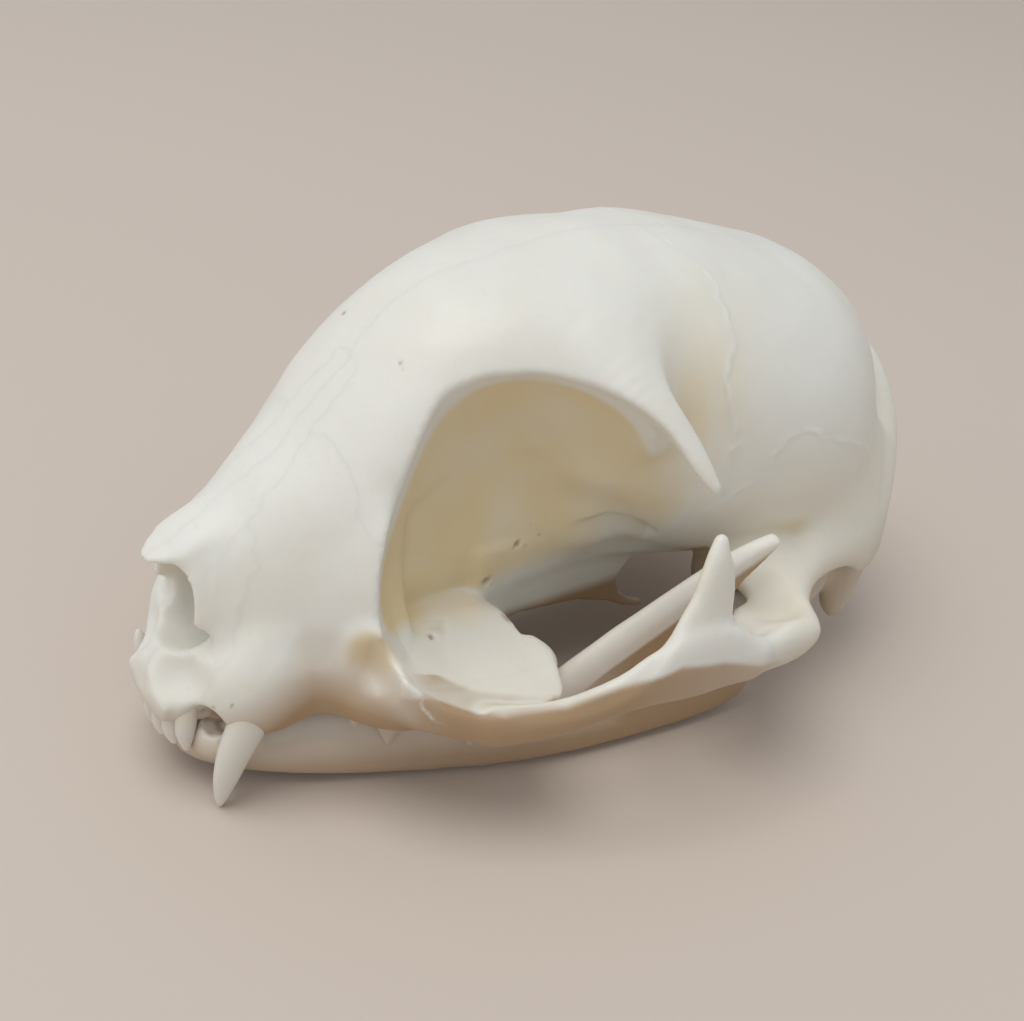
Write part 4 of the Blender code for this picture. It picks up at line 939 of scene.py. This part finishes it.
class NodeMaker:
    """Adds and links the nodes of one material."""

    def __init__(self, tree):
        tree.nodes.clear()
        self.tree, self.link = tree, tree.links.new
        self.place = self.add("ShaderNodeTexCoord").outputs["Object"]

    def add(self, kind, inputs=None, **settings):
        """A new node with its settings and input values."""
        node = self.tree.nodes.new(kind)
        for name, value in settings.items():
            setattr(node, name, value)
        for name, value in (inputs or {}).items():
            node.inputs[name].default_value = value
        return node

    def noise(self, scale, detail, roughness=0.55):
        """Smooth noise that is fixed to the piece."""
        inputs = {"Scale": scale, "Detail": detail, "Roughness": roughness}
        node = self.add("ShaderNodeTexNoise", inputs)
        self.link(self.place, node.inputs["Vector"])
        return node.outputs["Fac"]

    def mark(self, name):
        """One of the marks that the piece's points carry."""
        return self.add("ShaderNodeAttribute", attribute_name=name).outputs["Fac"]

    def spread(self, value, low, high, to_low=0.0, to_high=1.0):
        """Value led smoothly from one range to another."""
        node = self.add("ShaderNodeMapRange", interpolation_type="SMOOTHSTEP")
        for index, number in enumerate((low, high, to_low, to_high), 1):
            node.inputs[index].default_value = number
        self.link(value, node.inputs[0])
        return node.outputs[0]

    def combine(self, operation, a, b):
        """Sum or product of two values."""
        node = self.add("ShaderNodeMath", operation=operation)
        self.link(a, node.inputs[0])
        self.link(b, node.inputs[1])
        return node.outputs[0]

    def tone(self, share, under, over):
        """Mix of two colours, of which the first may be a socket."""
        node = self.add("ShaderNodeMix", data_type="RGBA")
        self.link(share, node.inputs[0])
        if hasattr(under, "__len__"):
            node.inputs[6].default_value = (*under, 1.0)
        else:
            self.link(under, node.inputs[6])
        node.inputs[7].default_value = (*over, 1.0)
        return node.outputs[2]


def bone_material(name, finish, tint):
    """Bleached bone: white, ivory in patches, with pores and fine grain, and painted warm shade in
    its hollows and on its undersides.
    """
    material = bpy.data.materials.new(name)
    material.use_nodes = True
    nodes = NodeMaker(material.node_tree)
    noise, spread, tone, mark = nodes.noise, nodes.spread, nodes.tone, nodes.mark
    shader = nodes.add("ShaderNodeBsdfPrincipled", BONE_SURFACE)
    shader.inputs["Subsurface Weight"].default_value = finish.depth_of_light
    nodes.link(shader.outputs[0], nodes.add("ShaderNodeOutputMaterial").inputs[0])

    # Painted warm shade in hollows and at tooth roots
    color = tone(spread(mark("painted_shade"), 0.0, 1.0), tint, finish.painted_shade)
    color = tone(spread(noise(PATCH_SCALE, 3.0), 0.42, 0.72, to_high=0.3), color, finish.ivory)
    color = tone(spread(noise(SPECK_SCALE, 2.0), 0.30, 0.38, 0.22, 0.0), color, finish.ivory)
    # Painted warm shade, with reflected light from below, on the undersides
    color = tone(mark("under"), color, finish.under)
    color = tone(spread(mark("seam"), 0.1, 0.8, to_high=0.8), color, finish.seam)
    # Stain, with painted shade in small holes
    color = tone(spread(mark("stain_and_shade"), 0.0, 1.0), color, finish.stain_and_shade)
    nodes.link(color, shader.inputs["Base Color"])

    smooth, dull = finish.roughness - ROUGHNESS_RANGE, finish.roughness + ROUGHNESS_RANGE
    nodes.link(spread(noise(GLOSS_SCALE, 4.0), 0.3, 0.7, smooth, dull), shader.inputs["Roughness"])

    pores = nodes.add("ShaderNodeTexVoronoi", {"Scale": PORE_SCALE}, feature="F1")
    nodes.link(nodes.place, pores.inputs["Vector"])
    pits = spread(pores.outputs["Distance"], 0.0, 0.25)
    porous = spread(noise(PORE_PATCH_SCALE, 2.0), 0.5, 0.7, to_high=0.35)
    pitted = nodes.combine("MULTIPLY", pits, porous)
    height = nodes.combine("ADD", noise(GRAIN_SCALE, 5.0, 0.6), pitted)
    bump = nodes.add("ShaderNodeBump", {"Strength": BUMP_STRENGTH, "Distance": BUMP_DEPTH})
    nodes.link(height, bump.inputs["Height"])
    nodes.link(bump.outputs[0], shader.inputs["Normal"])
    return material


def enamel_material(name, finish):
    """Tooth enamel: smooth and a little grey-white, with painted warm shade towards the root."""
    material = bone_material(name, finish, finish.enamel)
    shader = next(n for n in material.node_tree.nodes if n.type == "BSDF_PRINCIPLED")
    for socket, value in ENAMEL_SURFACE.items():
        shader.inputs[socket].default_value = value
    return material


def make_piece(name, skin, normals, marks, material, node=None):
    """Link a skin as a piece of the skull, with its marks as point attributes."""
    points, faces = skin
    mesh = bpy.data.meshes.new(name)
    mesh.from_pydata(((points + HOME) * MM).tolist(), [], faces.tolist())
    mesh.polygons.foreach_set("use_smooth", np.ones(len(faces), bool))
    for mark, values in marks.items():
        attribute = mesh.attributes.new(mark, "FLOAT", "POINT")
        attribute.data.foreach_set("value", values.astype(np.float32))
    mesh.normals_split_custom_set_from_vertices(normals.tolist())
    mesh.materials.append(material)
    piece = bpy.data.objects.new(name, mesh)
    bpy.context.scene.collection.objects.link(piece)
    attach(piece, BODY)
    if node:
        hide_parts(node)


def grow_cheek_tooth(field, row):
    """A cutting cheek tooth: a low crown with flattened, pointed cusps in one line."""
    root, (x, y), length, width, cusps = row
    along = np.array([x, y, 0.0])
    along /= np.linalg.norm(along)
    reach = math.copysign(1.0, cusps[0][1])
    turn = -math.degrees(math.atan2(along[0], along[1]))
    crown = (width / 2, length / 2, CROWN_HEIGHT)
    field.grow(ball(np.array(root) - (0, 0, reach * 0.2), crown, turn), 0.6)
    for place, height, size in cusps:
        foot = np.array(root) + along * (place - 0.5) * length
        rows = [(*(foot - (0, 0, reach * 1.2)), size, width * 0.8),
                (*foot, size, width * 0.86),
                (*(foot + (0, 0, height * 0.55)), size * 0.62, width * 0.56),
                (*(foot + (0, 0, height)), CUSP_TIP, CUSP_TIP)]
        field.grow(sweep(rows, tuple(along)), 0.7)


def is_cheek_tooth(row):
    """Cheek teeth have a tuple for a row, and the other teeth a list of sweep rows."""
    return isinstance(row, tuple)


def tooth_skin(row, side):
    """Skin of one tooth, mirrored for the right side."""
    if is_cheek_tooth(row):
        room = (row[2] / 2 + 1.5, row[2] / 2 + 1.5, 7)
        field = BoneField(np.array(row[0]) - room, np.array(row[0]) + room, TOOTH_GRAIN)
        grow_cheek_tooth(field, row)
    else:
        spots = np.array(row)[:, :3]
        field = BoneField(spots.min(0) - TOOTH_ROOM, spots.max(0) + TOOTH_ROOM, TOOTH_GRAIN)
        field.grow(sweep(row, BACKWARDS), 0.2)
    skin = field_skin(field)
    return right_side(*skin) if side < 0 else skin


# brown is the share of painted underside shade on each tooth
def add_teeth(label, rows, sides, material, slot, brown):
    """Build one piece for each tooth of a row; the jaw's teeth stand crown up."""
    for number, row in enumerate(rows, 1):
        for side in sides:
            points, faces = tooth_skin(row, side)
            height = points[:, 2] - (row[0][2] if is_cheek_tooth(row) else row[1][2])
            root = np.clip(1 + (-height if slot == "jaw_bone" else height) / ROOT_HEIGHT, 0, 1)
            # Painted shade at the root, and painted underside shade over the whole tooth
            marks = {"painted_shade": root * ROOT_SHADE, "under": np.full(len(points), brown)}
            suffix = "left" if side > 0 else "right"
            name = f"{label}_{number}_{suffix}" if len(rows) > 1 else f"{label}_{suffix}"
            normals = point_normals(points, faces)
            make_piece(name, (points, faces), normals, marks, material)


class SkullSizes(bpy.types.PropertyGroup):
    """Sizes of the skull's skin."""
    grain: bpy.props.FloatProperty(
        name="Grain", description="Spacing of the points on the bone's skin",
        default=0.0003, min=0.00015, max=0.001, unit="LENGTH", precision=5)
    seam_width: bpy.props.FloatProperty(
        name="Suture width", description="Width of the fine light line between two bones",
        default=0.0007, min=0.0002, max=0.002, unit="LENGTH", precision=5)
    seam_lift: bpy.props.FloatProperty(
        name="Suture lift", description="How far that line stands up",
        default=0.00006, min=0.0, max=0.0005, unit="LENGTH", precision=5)


class BoneFinish(bpy.types.PropertyGroup):
    """Colours and surface of bone and teeth."""
    bone: bpy.props.FloatVectorProperty(
        name="Bone", description="Bleached outer bone", subtype="COLOR", size=3,
        default=(0.84, 0.825, 0.77), min=0, max=1)
    jaw: bpy.props.FloatVectorProperty(
        name="Jaw bone", description="Lower jaw", subtype="COLOR", size=3,
        default=(0.84, 0.81, 0.75), min=0, max=1)
    # Colour of the painted warm shade, with reflected light from below, on the lower edges of
    # skull, jaw and teeth
    under: bpy.props.FloatVectorProperty(
        name="Underside", description="Lower edges of skull and jaw", subtype="COLOR", size=3,
        default=(0.43, 0.29, 0.17), min=0, max=1)
    ivory: bpy.props.FloatVectorProperty(
        name="Ivory", description="Warmer patches in the bone", subtype="COLOR", size=3,
        default=(0.79, 0.74, 0.62), min=0, max=1)
    # Colour of the painted warm shade in the eye sockets, openings and other hollows, and at the
    # tooth roots
    painted_shade: bpy.props.FloatVectorProperty(
        name="Hollows", description="Bone inside the eye sockets and openings",
        subtype="COLOR", size=3, default=(0.80, 0.66, 0.41), min=0, max=1)
    seam: bpy.props.FloatVectorProperty(
        name="Sutures", description="Fine lines where bones meet", subtype="COLOR", size=3,
        default=(0.88, 0.86, 0.80), min=0, max=1)
    # Colour of the stain and painted shade in small holes and in the empty lower canine socket
    stain_and_shade: bpy.props.FloatVectorProperty(
        name="Stain", description="Brown traces deep in small openings", subtype="COLOR", size=3,
        default=(0.30, 0.16, 0.06), min=0, max=1)
    enamel: bpy.props.FloatVectorProperty(
        name="Enamel", description="Tooth crowns", subtype="COLOR", size=3,
        default=(0.82, 0.80, 0.76), min=0, max=1)
    roughness: bpy.props.FloatProperty(
        name="Roughness", description="Dullness of the bone", subtype="FACTOR",
        default=0.46, min=0, max=1)
    depth_of_light: bpy.props.FloatProperty(
        name="Translucency", description="Share of light that enters the bone", subtype="FACTOR",
        default=0.2, min=0, max=1)


class StageSettings(bpy.types.PropertyGroup):
    """Floor, lights and camera."""
    floor: bpy.props.FloatVectorProperty(
        name="Floor", description="Colour of the plain floor", subtype="COLOR", size=3,
        default=(0.66, 0.57, 0.50), min=0, max=1)
    key: bpy.props.FloatProperty(
        name="Key light", description="Power of the large soft light overhead",
        default=3.0, min=0, unit="POWER")
    fill: bpy.props.FloatProperty(
        name="Front light", description="Power of the weak lamp before the face",
        default=0.5, min=0, unit="POWER")
    sky: bpy.props.FloatProperty(
        name="Room light", description="Brightness of the even light all round",
        default=0.5, min=0)
    lens: bpy.props.FloatProperty(
        name="Lens", description="Focal length of the camera",
        default=0.0529, min=0.01, unit="LENGTH", precision=4)


def part_bones(points, faces, normals, marks, material):
    """Cut the upper skull's skin into its bones."""
    owner, _, on_right = bone_shares(points[faces].mean(1))
    for number, (label, paired, *_) in enumerate(BONES):
        mine = owner == number
        halves = {"_left": mine & ~on_right, "_right": mine & on_right}
        for suffix, chosen in (halves if paired else {"": mine}).items():
            *skin, bone_normals, bone_marks = cut_out(points, faces, chosen, normals, marks)
            # under carries the painted underside shade
            named = dict(zip(("painted_shade", "seam", "stain_and_shade", "under"), bone_marks.T))
            name = label + suffix
            make_piece(name, skin, bone_normals, named, material, name)


class SKULL_OT_upper_bones(bpy.types.Operator):
    """Build the bones of the upper skull, parted along their sutures"""
    bl_idname = "skull.upper_bones"
    bl_label = "Upper skull bones"

    def execute(self, context):
        sizes, finish = context.scene.skull_sizes, context.scene.skull_finish
        field = skull_field(sizes.grain / MM)
        points, faces = field_skin(field)
        normals = point_normals(points, faces)
        seam = ramp(bone_shares(points)[1], sizes.seam_width / MM / 2, 0) * SEAM_SHARE
        lift, tint = fine_lines(points)
        depth, stain_and_shade = small_spots(points)
        closeness = shelter(field, points, SKULL_FEEL)
        inside = socket_shade(field, points, normals, closeness)
        # Painted warm shade: in hollows, in the eye sockets and in a few patches
        painted_shade = np.maximum(ramp(closeness, *SKULL_HOLLOW_SHADE), inside) + shade_patches(points)
        height = seam * sizes.seam_lift / MM + lift - depth + uneven(points, SKULL_WAVES)
        points = points + normals * height[:, None]
        normals = point_normals(points, faces)
        # Painted warm shade on the undersides and the cheek arch's flank
        brown = skull_underside_shade(points, normals)
        marks = np.stack([np.clip(painted_shade, 0, 1), np.maximum(seam, tint), stain_and_shade, brown], 1)
        part_bones(points, faces, normals, marks, bone_material("skull_bone", finish, finish.bone))
        return {"FINISHED"}


class SKULL_OT_lower_jaws(bpy.types.Operator):
    """Build the two halves of the lower jaw"""
    bl_idname = "skull.lower_jaws"
    bl_label = "Lower jaws"

    def execute(self, context):
        finish = context.scene.skull_finish
        material = bone_material("jaw_bone", finish, finish.jaw)
        field = jaw_field(context.scene.skull_sizes.grain / MM)
        left, faces = field_skin(field)
        # Painted warm shade in the jaw's hollows, mostly low on it
        painted_shade = ramp(shelter(field, left, JAW_FEEL), *JAW_HOLLOW_SHADE)
        painted_shade *= np.maximum(ramp(left[:, 2], 2, -1), JAW_LEAST_HOLLOW_SHADE)
        for side, name in ((1, "mandible_left"), (-1, "mandible_right")):
            points, faces = (left, faces) if side > 0 else right_side(left, faces)
            normals = point_normals(points, faces)
            points = points + normals * uneven(points, JAW_WAVES)[:, None]
            marks = {"painted_shade": painted_shade, "stain_and_shade": small_spots(points)[1],
                     # under: painted warm shade on the jaw's lower edge and outer face
                     "under": jaw_underside_shade(points, normals, side)}
            make_piece(name, (points, faces), normals, marks, material, name)
        return {"FINISHED"}


def build_teeth(context, kind, brown):
    """Build all teeth of one kind."""
    material = enamel_material(kind + "_enamel", context.scene.skull_finish)
    for label, rows, sides, slot in TEETH[kind]:
        add_teeth(label, rows, sides, material, slot, brown)
    return {"FINISHED"}


class SKULL_OT_canines(bpy.types.Operator):
    """Build the canines: both upper ones, and the right lower one"""
    bl_idname = "skull.canines"
    bl_label = "Canines"

    def execute(self, context):
        return build_teeth(context, "canine", FRONT_TOOTH_SHADE)


class SKULL_OT_incisors(bpy.types.Operator):
    """Build the small front teeth of both jaws"""
    bl_idname = "skull.incisors"
    bl_label = "Incisors"

    def execute(self, context):
        return build_teeth(context, "incisor", FRONT_TOOTH_SHADE)


class SKULL_OT_cheek_teeth(bpy.types.Operator):
    """Build the cutting cheek teeth of both jaws"""
    bl_idname = "skull.cheek_teeth"
    bl_label = "Cheek teeth"

    def execute(self, context):
        return build_teeth(context, "cheek", CHEEK_TOOTH_SHADE)


def add_floor(color):
    """A plain floor under the skull."""
    bm = bmesh.new()
    bmesh.ops.create_grid(bm, x_segments=2, y_segments=2, size=FLOOR_HALF)
    mesh = bpy.data.meshes.new("floor")
    bm.to_mesh(mesh)
    bm.free()
    floor = bpy.data.objects.new("floor", mesh)
    bpy.context.scene.collection.objects.link(floor)
    material = bpy.data.materials.new("floor")
    material.use_nodes = True
    shader = material.node_tree.nodes["Principled BSDF"]
    shader.inputs["Base Color"].default_value = (*color, 1)
    shader.inputs["Roughness"].default_value = FLOOR_ROUGHNESS
    mesh.materials.append(material)


def add_room_light(brightness):
    """Even, slightly cool light from all round."""
    scene = bpy.context.scene
    scene.world = scene.world or bpy.data.worlds.new("room")
    scene.world.use_nodes = True
    sky = scene.world.node_tree.nodes["Background"]
    sky.inputs[0].default_value = ROOM_COLOR
    sky.inputs[1].default_value = brightness


def add_light(name, power, place, aim, size, color):
    """A soft round lamp that faces a point."""
    data = bpy.data.lights.new(name, "AREA")
    data.shape = "DISK"
    data.size = size
    data.energy = power
    data.color = color
    light = bpy.data.objects.new(name, data)
    light.location = place
    light.rotation_mode = "QUATERNION"
    light.rotation_quaternion = (Vector(place) - Vector(aim)).to_track_quat("Z", "Y")
    bpy.context.scene.collection.objects.link(light)


def add_camera(lens):
    """The camera, at the angle from which the skull is seen."""
    turn, rise, roll = (math.radians(angle) for angle in (VIEW_TURN, VIEW_RISE, VIEW_ROLL))
    back = (math.sin(turn) * math.cos(rise), -math.cos(turn) * math.cos(rise), math.sin(rise))
    back, level = Vector(back), Vector((math.cos(turn), math.sin(turn), 0.0))
    steep = back.cross(level)
    right = level * math.cos(roll) + steep * math.sin(roll)
    up = steep * math.cos(roll) - level * math.sin(roll)
    place = Vector(VIEW_TARGET) - right * VIEW_SHIFT[0] - up * VIEW_SHIFT[1] + back * VIEW_DISTANCE
    data = bpy.data.cameras.new("camera")
    data.sensor_width = SENSOR_WIDTH
    data.lens = lens / MM
    data.clip_start = NEAREST_SEEN
    camera = bpy.data.objects.new("camera", data)
    camera.location = (place + Vector(HOME)) * MM
    turned = Matrix((right, up, back)).transposed().to_4x4()
    camera.matrix_world = Matrix.Translation(camera.location) @ turned
    bpy.context.scene.collection.objects.link(camera)
    bpy.context.scene.camera = camera


class SKULL_OT_stage(bpy.types.Operator):
    """Lay the floor and set the lights and the camera"""
    bl_idname = "skull.stage"
    bl_label = "Stage"

    def execute(self, context):
        settings = context.scene.skull_stage
        add_floor(settings.floor)
        add_room_light(settings.sky)
        add_light("key", settings.key, *KEY_LIGHT)
        add_light("fill", settings.fill, *FRONT_LIGHT)
        add_camera(settings.lens)
        context.scene.view_settings.view_transform = "Standard"
        return {"FINISHED"}


class SKULL_PT_panel(bpy.types.Panel):
    """The skull's parts and settings"""
    bl_idname = "SKULL_PT_panel"
    bl_label = "Cat skull"
    bl_space_type = "VIEW_3D"
    bl_region_type = "UI"
    bl_category = "Skull"

    def draw(self, context):
        for operator in OPERATORS:
            self.layout.operator(operator.bl_idname)
        for group in GROUPS:
            box = self.layout.box()
            for name in GROUPS[group].__annotations__:
                box.prop(getattr(context.scene, group), name)


OPERATORS = (SKULL_OT_upper_bones, SKULL_OT_lower_jaws, SKULL_OT_canines, SKULL_OT_incisors,
             SKULL_OT_cheek_teeth, SKULL_OT_stage)
GROUPS = {"skull_sizes": SkullSizes, "skull_finish": BoneFinish, "skull_stage": StageSettings}
CLASSES = (*GROUPS.values(), *OPERATORS, SKULL_PT_panel)


def register():
    """Make the operators, the panel and the settings known."""
    for item in CLASSES:
        bpy.utils.register_class(item)
    for name, group in GROUPS.items():
        setattr(bpy.types.Scene, name, bpy.props.PointerProperty(type=group))


def unregister():
    """Take them out again."""
    for name in GROUPS:
        delattr(bpy.types.Scene, name)
    for item in reversed(CLASSES):
        bpy.utils.unregister_class(item)


def main():
    """Build the skull and its stage."""
    register()
    bpy.ops.skull.upper_bones()
    bpy.ops.skull.lower_jaws()
    bpy.ops.skull.canines()
    bpy.ops.skull.incisors()
    bpy.ops.skull.cheek_teeth()
    bpy.ops.skull.stage()


if __name__ == "__main__":
    main()
